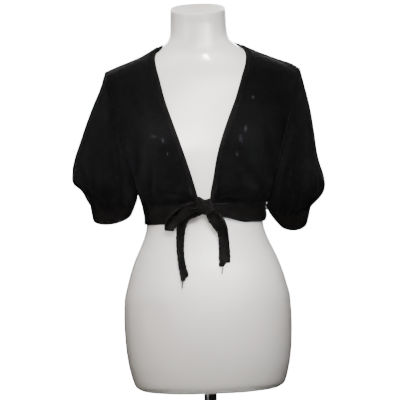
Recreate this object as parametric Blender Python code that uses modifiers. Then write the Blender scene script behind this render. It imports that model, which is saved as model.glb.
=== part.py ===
"""Cropped tie-front knitted cardigan on a limbless dress form, metres, +Z up.

The form stands on a round base.  The front faces -Y and +X is the wearer's left.
The cloth is a knitted wall laid over the form: two fronts and a back between the
shoulder seams and the hem band, two wide short sleeves gathered into cuffs, a neck
band round the opening, and ties knotted at the front of the waist.
"""

import math

import bmesh
import bpy
import numpy as np
from mathutils import Vector
from mathutils.bvhtree import BVHTree

# Driving dimensions
KNIT = 0.0020  # thickness of the knitted wall
BAND = 0.0024  # thickness of the ribbed bands
SEAM_GAP = 0.0003  # left between two pieces at a seam
ARMHOLE_GAP = 0.0013  # the same where the sleeves meet the panels at an angle
REST_GAP = 0.0007  # under the cloth where it rests on the shoulders
EASE = 0.0026  # under the cloth elsewhere
BAND_TOP = 0.5345  # height of the seam between the panels and the hem band
HEM = 0.5005  # height of the hem
NECK_BAND_WIDTH = 0.009
FORM_FLOOR = 0.160  # height of the form's flat underside
POLE_RADIUS = 0.0130
BASE_RADIUS = 0.145
BASE_THICKNESS = 0.010
SOCKET_DEPTH = 0.050  # how far the pole reaches into the form

# Resolution of the cloth: a half ring of a sleeve, the side seam, and a front's width
HALF_RING = 16
SIDE_ROWS = 2
FRONT_COLUMNS = 12
BACK_NECK_COLUMNS = 10
BAND_ROWS = 3
FORM_COLUMNS = 36

RIGHT, LEFT = -1, 1  # the wearer's sides, as the sign of x

# The form's level sections
FORM_SECTIONS = (
    # height, half width, depth in front, depth behind
    (0.1600, 0.088, 0.0620, 0.066),
    (0.1640, 0.124, 0.0870, 0.092),
    (0.1680, 0.138, 0.0970, 0.101),
    (0.1760, 0.149, 0.1030, 0.107),
    (0.2000, 0.157, 0.1085, 0.112),
    (0.2240, 0.162, 0.1120, 0.116),
    (0.2600, 0.166, 0.1155, 0.120),
    (0.3000, 0.1675, 0.1180, 0.122),
    (0.3440, 0.166, 0.1190, 0.121),
    (0.3800, 0.158, 0.1165, 0.116),
    (0.4040, 0.151, 0.1125, 0.110),
    (0.4280, 0.142, 0.1060, 0.103),
    (0.4520, 0.131, 0.0975, 0.096),
    (0.4760, 0.121, 0.0900, 0.090),
    (0.4920, 0.1170, 0.0865, 0.0870),
    (0.5100, 0.1160, 0.0855, 0.0850),
    (0.5300, 0.1190, 0.0860, 0.0840),
    (0.5600, 0.1265, 0.0888, 0.0860),
    (0.6040, 0.138, 0.0992, 0.091),
    (0.6440, 0.146, 0.1020, 0.096),
    (0.6800, 0.152, 0.0970, 0.100),
    (0.7100, 0.163, 0.0930, 0.102),
    (0.7350, 0.176, 0.0890, 0.101),
    (0.7600, 0.187, 0.0840, 0.099),
    (0.7840, 0.192, 0.0780, 0.096),
    (0.7940, 0.1890, 0.075, 0.093),
    (0.8030, 0.178, 0.071, 0.089),
    (0.8120, 0.160, 0.066, 0.085),
    (0.8205, 0.140, 0.062, 0.082),
    (0.8295, 0.115, 0.058, 0.078),
    (0.8365, 0.100, 0.056, 0.076),
    (0.8440, 0.0865, 0.054, 0.074),
    (0.8535, 0.0730, 0.053, 0.071),
    (0.8640, 0.0625, 0.052, 0.067),
    (0.8750, 0.0580, 0.051, 0.063),
    (0.8950, 0.0562, 0.050, 0.059),
    (0.9260, 0.0555, 0.051, 0.058),
)
SECTION_POWER = 2.3  # 2 is an ellipse, more is squarer
BUST_X, BUST_Z, BUST_SPREAD, BUST_RISE = 0.080, 0.648, 0.046, 0.034
CAP_TILT = math.radians(17.0)  # the neck's cut leans forward
CAP_TILT_FROM = 0.880  # height where that lean begins

# The free edge of the neck opening, from the shoulder down to the knot
NECK_EDGE = (
    # height, distance from the middle: wearer's right, wearer's left
    (0.8560, 0.0750, 0.0770),
    (0.8480, 0.0842, 0.0880),
    (0.8380, 0.0890, 0.0935),
    (0.8260, 0.0893, 0.0935),
    (0.8130, 0.0878, 0.0908),
    (0.7820, 0.0822, 0.0817),
    (0.7410, 0.0735, 0.0686),
    (0.7000, 0.0606, 0.0525),
    (0.6570, 0.0467, 0.0355),
    (0.6200, 0.0345, 0.0253),
    (0.5830, 0.0240, 0.0184),
    (0.5560, 0.0184, 0.0153),
    (0.5345, 0.0140, 0.0139),
)
NECK_SHOULDER_HEIGHT = 0.8560  # the free edge on top of the shoulder
NECK_BACK_HEIGHT = 0.8700  # and behind the neck
SHOULDER_SLOPE = 0.75  # of the shoulder seam next to the neck
SHOULDER_EASE = 0.0060  # how far outside the form's outline the cloth turns over the shoulder

# The top of the shoulder under the seam, outwards from the neck
SHOULDER_LINE = (
    # distance from the middle, height: wearer's right, wearer's left
    (0.0800, 0.8525, 0.8535),
    (0.0950, 0.8428, 0.8455),
    (0.1150, 0.8338, 0.8372),
    (0.1400, 0.8242, 0.8272),
    (0.1600, 0.8166, 0.8190),
    (0.1830, 0.8066, 0.8098),
    (0.2000, 0.7990, 0.7990),
)

# Each sleeve's rings, from the armhole to its mouth: the ends of the ring's width
SLEEVES = {
    RIGHT: (
        # outer x, outer z, inner x, inner z, front depth, back depth, front drop
        (0.1925, 0.8025, 0.1318, 0.5553, 0.057, 0.062, 0.000),
        (0.2005, 0.7750, 0.1318, 0.5547, 0.060, 0.063, 0.000),
        (0.2112, 0.7470, 0.1318, 0.5541, 0.062, 0.064, 0.000),
        (0.2232, 0.7190, 0.1318, 0.5535, 0.0635, 0.0645, 0.000),
        (0.2352, 0.6890, 0.1318, 0.5528, 0.064, 0.064, 0.000),
        (0.2452, 0.6620, 0.1318, 0.5520, 0.065, 0.065, 0.001),
        (0.2552, 0.6350, 0.1319, 0.5511, 0.065, 0.065, 0.002),
        (0.2612, 0.6120, 0.1320, 0.5500, 0.064, 0.064, 0.003),
        (0.2627, 0.5950, 0.1322, 0.5487, 0.062, 0.062, 0.004),
        (0.2590, 0.5830, 0.1325, 0.5473, 0.059, 0.059, 0.006),
        (0.2485, 0.5745, 0.1332, 0.5457, 0.055, 0.056, 0.008),
        (0.2395, 0.5650, 0.1342, 0.5440, 0.051, 0.053, 0.009),
        (0.2330, 0.5530, 0.1353, 0.5422, 0.048, 0.050, 0.010),
        (0.2275, 0.5400, 0.1367, 0.5400, 0.046, 0.048, 0.011),
    ),
    LEFT: (
        (0.2000, 0.7990, 0.1318, 0.5473, 0.057, 0.062, 0.000),
        (0.2050, 0.7715, 0.1318, 0.5453, 0.060, 0.063, 0.000),
        (0.2102, 0.7440, 0.1317, 0.5428, 0.062, 0.064, 0.000),
        (0.2155, 0.7160, 0.1315, 0.5400, 0.0635, 0.0645, 0.000),
        (0.2195, 0.6880, 0.1311, 0.5370, 0.064, 0.064, 0.000),
        (0.2230, 0.6600, 0.1306, 0.5342, 0.065, 0.065, 0.001),
        (0.2268, 0.6320, 0.1300, 0.5315, 0.065, 0.065, 0.002),
        (0.2322, 0.6070, 0.1295, 0.5290, 0.064, 0.064, 0.003),
        (0.2383, 0.5890, 0.1290, 0.5266, 0.062, 0.062, 0.004),
        (0.2408, 0.5700, 0.1284, 0.5244, 0.059, 0.059, 0.006),
        (0.2375, 0.5545, 0.1277, 0.5225, 0.055, 0.056, 0.008),
        (0.2300, 0.5440, 0.1270, 0.5207, 0.051, 0.053, 0.009),
        (0.2205, 0.5350, 0.1266, 0.5192, 0.048, 0.050, 0.010),
        (0.2120, 0.5260, 0.1265, 0.5178, 0.046, 0.048, 0.011),
    ),
}
CUFFS = {
    RIGHT: (
        (0.2275, 0.5400, 0.1367, 0.5400, 0.046, 0.048, 0.011),
        (0.2256, 0.5262, 0.1412, 0.5297, 0.045, 0.047, 0.012),
        (0.2228, 0.5120, 0.1462, 0.5195, 0.044, 0.046, 0.0145),
    ),
    LEFT: (
        (0.2120, 0.5260, 0.1265, 0.5178, 0.046, 0.048, 0.011),
        (0.2090, 0.5110, 0.1368, 0.5068, 0.045, 0.047, 0.012),
        (0.2048, 0.4962, 0.1490, 0.4945, 0.044, 0.046, 0.0145),
    ),
}
CUFF_GATHERS = 8  # soft pleats where the sleeve is drawn into its cuff
GATHER_DEPTH = 0.0026
GATHER_ROWS = 6  # rings over which they fade out above the cuff

# Large folds: a soft trough (-) or ridge (+) along a line in the front view
FRONT_FOLDS = (
    # from x, z, to x, z, half width, rise
    (0.0833, 0.5990, 0.1300, 0.5330, 0.0075, -0.0100),
    (0.0980, 0.6180, 0.1420, 0.5600, 0.0100, 0.0050),
    (0.1550, 0.7200, 0.1530, 0.5900, 0.0160, -0.0070),
    (-0.1830, 0.7580, -0.1570, 0.6600, 0.0100, -0.0060),
    (-0.1580, 0.6700, -0.1540, 0.5500, 0.0110, -0.0090),
    (-0.1960, 0.6050, -0.1930, 0.5550, 0.0100, -0.0050),
    (0.1980, 0.5900, 0.1830, 0.5350, 0.0090, -0.0040),
    (-0.0760, 0.5560, -0.0530, 0.5400, 0.0060, -0.0040),
)
BACK_FOLDS = (
    (0.1500, 0.7300, 0.1480, 0.6000, 0.0140, -0.0080),
    (-0.1500, 0.7300, -0.1470, 0.5900, 0.0140, -0.0090),
    (0.0500, 0.6500, 0.1050, 0.5600, 0.0120, -0.0050),
    (-0.0550, 0.6400, -0.1050, 0.5650, 0.0120, -0.0050),
    (0.2000, 0.6300, 0.1900, 0.5500, 0.0110, -0.0050),
    (-0.2120, 0.6300, -0.2000, 0.5600, 0.0110, -0.0050),
)
FRONT_HANG, BACK_HANG = 0.30, 0.30  # how fast free cloth falls back under a bulge
BLOUSE = 0.0060  # how far the panels puff out over the hem band
BLOUSE_RISE = 0.022  # height of that puff above the seam
BAND_SWELL = 0.0030  # how far the hem band rounds out in front
KNOT_LIFT = 0.012  # how far the hem is drawn up next to the knot
KNOT_PULL = 0.0040  # how far the fronts are drawn forward next to the knot
FRONT_REACH = math.radians(81.3)  # round the form from the side seam to the neck band
UNDERARM_GAP = 0.0010
CLEARING_PASSES = 5

# The knot and its strips, each a flat knitted strip along its centre line
KNOT_CENTRE = (0.0044, -0.0988, 0.5295)
KNOT_SIZE = (0.0245, 0.0225, 0.0270)
KNOT_REACH = 0.0136  # from the knot's middle to the ends of the hem band
STRIP = 0.0026  # thickness of a tie strip
TIE_TAIL_RIGHT = (
    # x, z, distance from the form, width
    (-0.0047, 0.5183, 0.0152, 0.0080),
    (-0.0190, 0.5125, 0.0152, 0.0180),
    (-0.0335, 0.5080, 0.0126, 0.0215),
    (-0.0425, 0.4985, 0.0105, 0.0195),
    (-0.0470, 0.4850, 0.0070, 0.0150),
    (-0.0500, 0.4680, 0.0045, 0.0125),
    (-0.0502, 0.4500, 0.0040, 0.0115),
    (-0.0490, 0.4330, 0.0040, 0.0108),
    (-0.0470, 0.4150, 0.0040, 0.0118),
    (-0.0447, 0.4030, 0.0042, 0.0130),
    (-0.0440, 0.3935, 0.0045, 0.0110),
)
TIE_TAIL_LEFT = (
    (0.0111, 0.5179, 0.0146, 0.0120),
    (0.0205, 0.5055, 0.0158, 0.0245),
    (0.0285, 0.4935, 0.0135, 0.0245),
    (0.0335, 0.4830, 0.0085, 0.0180),
    (0.0347, 0.4660, 0.0045, 0.0170),
    (0.0350, 0.4500, 0.0040, 0.0180),
    (0.0353, 0.4350, 0.0040, 0.0195),
    (0.0358, 0.4180, 0.0042, 0.0175),
)
TIE_LOOP = (
    (-0.0077, 0.5330, 0.0178, 0.0120),
    (-0.0230, 0.5300, 0.0205, 0.0190),
    (-0.0400, 0.5215, 0.0207, 0.0215),
    (-0.0560, 0.5090, 0.0200, 0.0220),
    (-0.0665, 0.5010, 0.0188, 0.0215),
    (-0.0710, 0.4975, 0.0172, 0.0205),
    (-0.0665, 0.5015, 0.0158, 0.0210),
    (-0.0560, 0.5095, 0.0156, 0.0210),
    (-0.0400, 0.5220, 0.0163, 0.0200),
    (-0.0235, 0.5305, 0.0163, 0.0160),
)

# name: colour, roughness, metallic
MATERIALS = {
    "knit": ((0.0075, 0.0072, 0.0080, 1.0), 0.92, 0.0),
    "form_shell": ((0.80, 0.79, 0.775, 1.0), 0.38, 0.0),
    "polished_steel": ((0.62, 0.62, 0.63, 1.0), 0.12, 1.0),
    "painted_base": ((0.78, 0.78, 0.77, 1.0), 0.45, 0.0),
}


# ---- curves and surfaces ------------------------------------------------------------


def smooth_through(keys, values, at):
    """Value at `at` on a cubic that passes each key and never overshoots."""
    keys, values = np.asarray(keys, float), np.asarray(values, float)
    if keys[0] > keys[-1]:
        keys, values = keys[::-1], values[::-1]
    steps = np.diff(keys)
    slopes = np.diff(values) / steps
    tangents = np.empty(len(keys))
    tangents[0], tangents[-1] = slopes[0], slopes[-1]
    for i in range(1, len(keys) - 1):
        before, after = slopes[i - 1], slopes[i]
        same_way = before * after > 0
        tangents[i] = 2 * before * after / (before + after) if same_way else 0.0
    at = min(max(at, keys[0]), keys[-1])
    i = min(int(np.searchsorted(keys, at, side="right")) - 1, len(steps) - 1)
    t = (at - keys[i]) / steps[i]
    return (
        values[i] * (1 + 2 * t) * (1 - t) ** 2
        + steps[i] * tangents[i] * t * (1 - t) ** 2
        + values[i + 1] * t * t * (3 - 2 * t)
        + steps[i] * tangents[i + 1] * t * t * (t - 1)
    )


def column(table, index):
    """One column of a table of rows."""
    return [row[index] for row in table]


def ease(t):
    """0 to 1 with a soft start and end."""
    t = min(max(t, 0.0), 1.0)
    return t * t * (3 - 2 * t)


def form_section(z):
    """Half width, front depth and back depth of the form at a height."""
    heights = column(FORM_SECTIONS, 0)
    return tuple(smooth_through(heights, column(FORM_SECTIONS, k), z) for k in (1, 2, 3))


def bust(x, z, half_width):
    """Forward rise of the two rounded halves of the chest."""
    if abs(x) >= half_width:
        return 0.0
    rise = 0.0
    for side in (RIGHT, LEFT):
        away = ((x - side * BUST_X) ** 2 + (z - BUST_Z) ** 2) / (2 * BUST_SPREAD**2)
        rise += BUST_RISE * math.exp(-away)
    return rise * (1 - (abs(x) / half_width) ** 4)


def form_point(angle, z, out=0.0):
    """Point on the form: angle 0 is the wearer's left side, 90 degrees is the front."""
    half_width, front, back = form_section(z)
    power = 2 / SECTION_POWER
    across, along = math.cos(angle), math.sin(angle)
    x = half_width * math.copysign(abs(across) ** power, across)
    y = -(front if along > 0 else back) * math.copysign(abs(along) ** power, along)
    if along > 0:
        y -= bust(x, z, half_width) * min(1.0, along * 2)
    outward = Vector((across / half_width, -along / (front if along > 0 else back)))
    outward.normalize()
    return np.array((x + outward.x * out, y + outward.y * out, z))


def form_front(x, z):
    """Y of the form's front at a place in the front view, 0 beyond its side."""
    half_width, front, _ = form_section(z)
    share = 1 - (abs(x) / half_width) ** SECTION_POWER
    if share <= 0:
        return 0.0
    return -front * share ** (1 / SECTION_POWER) - bust(x, z, half_width)


def form_back(x, z):
    """Y of the form's back at a place in the front view, 0 beyond its side."""
    half_width, _, back = form_section(z)
    share = 1 - (abs(x) / half_width) ** SECTION_POWER
    return back * share ** (1 / SECTION_POWER) if share > 0 else 0.0


def hanging(x, z, face):
    """Y of free cloth: it falls from every bulge above it, a little inwards."""
    fall = FRONT_HANG if face < 0 else BACK_HANG
    surface = form_front if face < 0 else form_back
    depths = [
        abs(surface(x, min(z + drop, NECK_BACK_HEIGHT))) - fall * drop
        for drop in np.linspace(0.0, 0.20, 15)
    ]
    return face * max(max(depths), 0.0)


def over_shoulder(x, z, face):
    """Y of cloth that turns over the top of the shoulder, 0 beyond its turn."""
    half_width, front, back = form_section(z)
    depth = (front if face < 0 else back) + EASE + KNIT
    share = 1 - (abs(x) / (half_width + SHOULDER_EASE)) ** SECTION_POWER
    return face * depth * max(share, 0.0) ** (1 / SECTION_POWER)


def folds(x, z, table):
    """Sum of the soft folds of a table at a place in the front view."""
    rise = 0.0
    for x0, z0, x1, z1, half_width, height in table:
        run = (x1 - x0, z1 - z0)
        length2 = run[0] ** 2 + run[1] ** 2
        t = ((x - x0) * run[0] + (z - z0) * run[1]) / length2
        t = min(max(t, 0.0), 1.0)
        away2 = (x - x0 - t * run[0]) ** 2 + (z - z0 - t * run[1]) ** 2
        ends = 0.35 + 0.65 * math.sin(math.pi * min(max(t, 0.08), 0.92))
        rise += height * ends * math.exp(-away2 / (2 * half_width**2))
    return rise


# ---- the cloth's shared lines -------------------------------------------------------


def ring_point(row, side, angle, gather=0.0):
    """Point of a sleeve's ring: angle 0 is its outer fold, 90 degrees its front."""
    outer_x, outer_z, inner_x, inner_z, front, back, drop = row
    across, along = math.cos(angle), math.sin(angle)
    depth = (front if along > 0 else back) + gather
    x = (outer_x + inner_x) / 2 + ((outer_x - inner_x) / 2 + gather) * across
    z = (outer_z + inner_z) / 2 + (outer_z - inner_z) / 2 * across - drop * along
    return np.array((side * x, -depth * along, z))


def armhole_point(side, angle):
    """The armhole seam, just inside the sleeve's first ring."""
    outer_x, outer_z, inner_x, inner_z, front, back, drop = SLEEVES[side][0]
    seam = (outer_x - 0.0006, outer_z, inner_x - 0.0012, inner_z + 0.0008, front, back, drop)
    return ring_point(seam, side, angle)


def shoulder_point(side, distance):
    """Top of the shoulder at a distance from the middle."""
    heights = column(SHOULDER_LINE, 1 if side == RIGHT else 2)
    height = smooth_through(column(SHOULDER_LINE, 0), heights, distance)
    return np.array((side * distance, 0.002, height))


def side_point(side, z):
    """The side seam, close to the form."""
    half_width, _, _ = form_section(z)
    return np.array((side * (half_width + EASE + KNIT), 0.0, z))


def neck_front_point(side, z, inset):
    """Neck opening in front: `inset` is the distance from the free edge."""
    which = 1 if side == RIGHT else 2
    heights, places = column(NECK_EDGE, 0), column(NECK_EDGE, which)
    x = smooth_through(heights, places, z)
    step = 0.004
    slope = (
        smooth_through(heights, places, z + step)
        - smooth_through(heights, places, z - step)
    ) / (2 * step)
    slope += (SHOULDER_SLOPE - slope) * ease((z - 0.822) / 0.026)
    length = math.hypot(1.0, slope)
    x, z = x + inset / length, z - inset * slope / length
    y = min(hanging(x, z, -1) - EASE - KNIT, over_shoulder(x, z, -1))
    return np.array((side * x, y, z))


def neck_back_point(angle, inset):
    """Neck opening behind: angle 0 is on the shoulder, 90 degrees the middle."""
    rise = NECK_BACK_HEIGHT - NECK_SHOULDER_HEIGHT
    z = NECK_SHOULDER_HEIGHT + rise * math.sin(angle) ** 0.8 - 0.72 * inset
    return form_point(-angle, z, EASE + KNIT)


def row_shares():
    """How far down the side of a panel each of its rows is, from 0 to 1."""
    armhole = [(1 - math.cos(math.pi * k / HALF_RING)) / 2 for k in range(HALF_RING + 1)]
    share = 0.92  # of the panel's height is beside the armhole
    below = [share + (1 - share) * k / SIDE_ROWS for k in range(1, SIDE_ROWS + 1)]
    return [share * a for a in armhole] + below


def neck_row_height(share):
    """Height of the neck edge's point on a panel's row."""
    top, bottom = NECK_SHOULDER_HEIGHT, BAND_TOP
    return top + (bottom - top) * (0.2 * share**0.5 + 0.8 * share**1.5)


def panel_side(side, face):
    """Armhole and side seam of a panel, top to bottom; face -1 is the front."""
    turn = math.pi if face < 0 else -math.pi
    points = [armhole_point(side, turn * k / HALF_RING) for k in range(HALF_RING + 1)]
    top = points[-1][2]
    for k in range(1, SIDE_ROWS + 1):
        points.append(side_point(side, top + (BAND_TOP - top) * k / SIDE_ROWS))
    return np.array(points)


def band_angle(side, share):
    """Angle round the form, from the side seam (0) to the knot (1)."""
    reach = FRONT_REACH * share
    return reach if side == LEFT else math.pi - reach


def hem_point(side, share, z, swell=0.0):
    """Point of the hem band's outer face, from the side seam to the neck edge."""
    drawn = KNOT_PULL * ease((share - 0.7) / 0.3)
    return form_point(band_angle(side, share), z, EASE + KNIT + drawn + swell)


def patch(left, right, top, bottom):
    """Coons patch in the front view, with each row's depth carried straight across it."""
    rows, columns = len(left), len(top)
    grid = np.empty((rows, columns, 3))
    for i in range(rows):
        for j in range(columns):
            v, u = i / (rows - 1), j / (columns - 1)
            corners = (
                (1 - u) * (1 - v) * left[0]
                + u * (1 - v) * right[0]
                + (1 - u) * v * left[-1]
                + u * v * right[-1]
            )
            sides = (1 - u) * left[i] + u * right[i]
            ends = (1 - v) * top[j] + v * bottom[j]
            grid[i, j] = sides + ends - corners
            grid[i, j, 1] = sides[1]
    grid[0], grid[-1] = top, bottom
    return grid


def further(a, b, blend):
    """The larger of two depths, with a rounded change between them."""
    h = min(max(0.5 + 0.5 * (a - b) / blend, 0.0), 1.0)
    return b + (a - b) * h + blend * h * (1 - h)


def drape(grid, face):
    """Lays a patch over the form and hangs it; its four edges stay where they are."""
    surface = form_front if face < 0 else form_back
    table = FRONT_FOLDS if face < 0 else BACK_FOLDS
    rows, columns = grid.shape[:2]
    for i in range(1, rows - 1):
        for j in range(1, columns - 1):
            x, y, z = grid[i, j]
            tight = max(abs(surface(x, z)) + EASE + KNIT, abs(over_shoulder(x, z, face)))
            hung = abs(hanging(x, z, face)) + EASE + KNIT
            blouse = BLOUSE * math.exp(-(((z - BAND_TOP - BLOUSE_RISE) / 0.016) ** 2))
            depth = tight + (hung + blouse - tight) * ease((z - BAND_TOP) / 0.030)
            depth = further(depth, abs(y), 0.006)
            grid[i, j, 1] = face * max(depth + folds(x, z, table), tight)
    return grid


def keep_clear(grids, tree, gap):
    """Moves the grids out until every face is `gap` off the form; seams move as one."""
    meeting = {}
    for grid in grids:
        for index in np.ndindex(grid.shape[:-1]):
            meeting.setdefault(place_key(grid[index]), []).append((grid, index))
    owner = {(id(grid), index): group for group in meeting.values() for grid, index in group}
    for _ in range(CLEARING_PASSES):
        pushes = {}
        for grid in grids:
            for i in range(grid.shape[0] - 1):
                for j in range(grid.shape[1] - 1):
                    corners = [(i, j), (i + 1, j), (i + 1, j + 1), (i, j + 1)]
                    places = [Vector(grid[corner]) for corner in corners]
                    for k in range(4):
                        for share in (0.0, 0.5):
                            note_push(
                                pushes, owner, grid, tree, gap,
                                places[k].lerp(places[(k + 1) % 4], share),
                                (corners[k], corners[(k + 1) % 4]) if share else (corners[k],),
                            )
                    middle = sum(places, Vector()) / 4
                    note_push(pushes, owner, grid, tree, gap, middle, corners)
        for group, push in pushes.values():
            for grid, index in group:
                grid[index] += push


def note_push(pushes, owner, grid, tree, gap, point, corners):
    """Notes how far the corners round a point must move for it to clear the form."""
    near, normal, _, _ = tree.find_nearest(point)
    lack = gap - (point - near).dot(normal)
    if lack <= 0:
        return
    for corner in corners:
        group = owner[(id(grid), corner)]
        _, known = pushes.get(id(group), (group, Vector()))
        if lack > known.length:
            pushes[id(group)] = (group, normal * lack)


def place_key(point):
    """A point rounded to 0.01 mm, the same for points that meet at a seam."""
    return tuple(np.round(point, 5) + 0.0)


def normals_of(grid, closed=False):
    """Outward unit normals of a grid whose rows run down and columns round."""
    if closed:
        wrapped = np.concatenate((grid[:, -2:-1], grid, grid[:, 1:2]), axis=1)
        across = wrapped[:, 2:] - wrapped[:, :-2]
    else:
        across = np.gradient(grid, axis=1)
    down = np.gradient(grid, axis=0)
    normals = np.cross(across, down)
    lengths = np.linalg.norm(normals, axis=2, keepdims=True)
    return normals / np.maximum(lengths, 1e-12)


def match_normals(surfaces):
    """Gives points that coincide at a seam one normal, but not where the faces turn away."""
    meeting = {}
    for grid, normals in surfaces:
        for index in np.ndindex(grid.shape[:-1]):
            meeting.setdefault(place_key(grid[index]), []).append((normals, index))
    for group in meeting.values():
        if len(group) < 2:
            continue
        total = sum(normals[index] for normals, index in group)
        total = total / max(np.linalg.norm(total), 1e-9)
        for normals, index in group:
            share = ease((float(normals[index] @ total) - 0.05) / 0.5)
            mixed = normals[index] * (1 - share) + total * share
            normals[index] = mixed / np.linalg.norm(mixed)


def pull_back(grid, sides, gap):
    """Moves the named edges of a grid in by half the gap of their seam."""
    half = gap / 2 + 0.00002
    moves = {
        "top": (grid[0], grid[1]),
        "bottom": (grid[-1], grid[-2]),
        "first": (grid[:, 0], grid[:, 1]),
        "last": (grid[:, -1], grid[:, -2]),
    }
    for side in sides:
        edge, inner = moves[side]
        step = inner - edge
        edge += half * step / np.linalg.norm(step, axis=-1, keepdims=True)


# ---- meshes -------------------------------------------------------------------------


def new_object(name, vertices, faces, material):
    """A mesh object in the part's collection."""
    mesh = bpy.data.meshes.new(name)
    mesh.from_pydata([tuple(v) for v in vertices], [], faces)
    mesh.validate()
    built = bmesh.new()
    built.from_mesh(mesh)
    bmesh.ops.recalc_face_normals(built, faces=built.faces)
    built.to_mesh(mesh)
    built.free()
    thing = bpy.data.objects.new(name, mesh)
    PART.objects.link(thing)
    thing.data.materials.append(material)
    mesh.shade_smooth()
    mesh.set_sharp_from_angle(angle=math.radians(50))
    return thing


def wall(name, grid, normals, thickness, material, closed=False):
    """A cloth wall: `grid` is its outer face and the inner one lies inside it."""
    rows, columns = grid.shape[:2]
    inner = grid - normals * thickness
    count = columns - 1 if closed else columns
    vertices = list(grid[:, :count].reshape(-1, 3)) + list(inner[:, :count].reshape(-1, 3))
    shift = rows * count

    def at(i, j, layer=0):
        return layer * shift + i * count + j % count

    faces = []
    for i in range(rows - 1):
        for j in range(columns - 1):
            faces.append((at(i, j), at(i + 1, j), at(i + 1, j + 1), at(i, j + 1)))
            faces.append((at(i, j, 1), at(i, j + 1, 1), at(i + 1, j + 1, 1), at(i + 1, j, 1)))
    for i in (0, rows - 1):
        for j in range(columns - 1):
            faces.append((at(i, j), at(i, j + 1), at(i, j + 1, 1), at(i, j, 1)))
    if not closed:
        for j in (0, columns - 1):
            for i in range(rows - 1):
                faces.append((at(i, j), at(i + 1, j), at(i + 1, j, 1), at(i, j, 1)))
    return new_object(name, vertices, faces, material)


def strip(name, table, material, pieces):
    """A flat knitted strip of rounded section along its centre line."""
    rows = np.array(table)
    lengths = np.concatenate(([0], np.cumsum(np.linalg.norm(np.diff(rows[:, :3], axis=0), axis=1))))
    stations = np.linspace(0, lengths[-1], pieces + 1)
    centres, widths = [], []
    for s in stations:
        x, z, off, width = (smooth_through(lengths, rows[:, k], s) for k in range(4))
        centres.append(np.array((x, form_front(x, z) - off, z)))
        widths.append(width)
    centres = np.array(centres)
    runs = np.gradient(centres, axis=0)
    vertices, around = [], 10
    for centre, run, width in zip(centres, runs, widths):
        x, _, z = centre
        tilt = (form_front(x + 0.004, z) - form_front(x - 0.004, z)) / 0.008
        side = np.array((-run[2], 0.0, run[0]))
        side = side / np.linalg.norm(side)
        side[1] = tilt * side[0]
        side = side / np.linalg.norm(side)
        out = np.cross(side, run / np.linalg.norm(run))
        out = out / np.linalg.norm(out)
        for k in range(around):
            turn = 2 * math.pi * k / around
            across = math.copysign(abs(math.cos(turn)) ** 0.6, math.cos(turn))
            deep = math.copysign(abs(math.sin(turn)) ** 0.6, math.sin(turn))
            vertices.append(centre + side * across * width / 2 + out * deep * STRIP / 2)
    faces = [tuple(range(around)), tuple(range(len(vertices) - around, len(vertices)))]
    for i in range(len(centres) - 1):
        for k in range(around):
            a, b = i * around + k, i * around + (k + 1) % around
            faces.append((a, b, b + around, a + around))
    return new_object(name, vertices, faces, material)


def turned(name, profile, segments, material):
    """A turned piece: the profile's (radius, height) pairs, top to bottom."""
    mesh = bpy.data.meshes.new(name)
    points = [(radius, 0.0, height) for radius, height in profile]
    mesh.from_pydata(points, [(k, k + 1) for k in range(len(points) - 1)], [])
    thing = bpy.data.objects.new(name, mesh)
    PART.objects.link(thing)
    thing.data.materials.append(material)
    screw = thing.modifiers.new("turn", "SCREW")
    screw.steps = screw.render_steps = segments
    screw.use_merge_vertices = True
    screw.merge_threshold = 0.00001
    screw.use_smooth_shade = False
    return thing


def material_named(name):
    """One of the part's materials."""
    colour, roughness, metallic = MATERIALS[name]
    made = bpy.data.materials.new(name)
    made.use_nodes = True
    shader = made.node_tree.nodes["Principled BSDF"]
    shader.inputs["Base Color"].default_value = colour
    shader.inputs["Roughness"].default_value = roughness
    shader.inputs["Metallic"].default_value = metallic
    return made


# ---- the form and its stand ---------------------------------------------------------


def form_heights():
    """Heights of the form's rings, closer where its outline turns."""
    heights = [FORM_FLOOR + 0.0005, 0.1640, 0.1700, 0.1790]
    heights += list(np.arange(0.200, 0.470, 0.030))
    heights += list(np.arange(0.476, 0.780, 0.0235))
    heights += [0.7830, 0.7940, 0.8020, 0.8095, 0.8170, 0.8245, 0.8320, 0.8390]
    heights += [0.8460, 0.8540, 0.8640, 0.8780, 0.9000, FORM_SECTIONS[-1][0]]
    return heights


def build_form(material):
    """The limbless form: a lofted shell with a flat underside and a socket."""
    socket = POLE_RADIUS + SEAM_GAP
    vertices, rings = [], []

    def add_ring(points):
        rings.append(range(len(vertices), len(vertices) + FORM_COLUMNS))
        vertices.extend(points)

    angles = [2 * math.pi * k / FORM_COLUMNS for k in range(FORM_COLUMNS)]
    roof = FORM_FLOOR + SOCKET_DEPTH + SEAM_GAP
    for height in (roof, FORM_FLOOR):
        add_ring([(socket * math.cos(a), -socket * math.sin(a), height) for a in angles])
    for height in form_heights():
        lean = ease((height - CAP_TILT_FROM) / (FORM_SECTIONS[-1][0] - CAP_TILT_FROM))
        points = [form_point(a, height) for a in angles]
        for point in points:
            point[2] += lean * point[1] * math.tan(CAP_TILT)
        if height < 0.1620:
            points = [(x, y, FORM_FLOOR) for x, y, _ in points]
        add_ring(points)
    faces = [tuple(rings[0]), tuple(rings[-1])]
    for lower, upper in zip(rings, rings[1:]):
        for k in range(FORM_COLUMNS):
            m = (k + 1) % FORM_COLUMNS
            faces.append((lower[k], lower[m], upper[m], upper[k]))
    return new_object("dress_form", vertices, faces, material)


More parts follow.
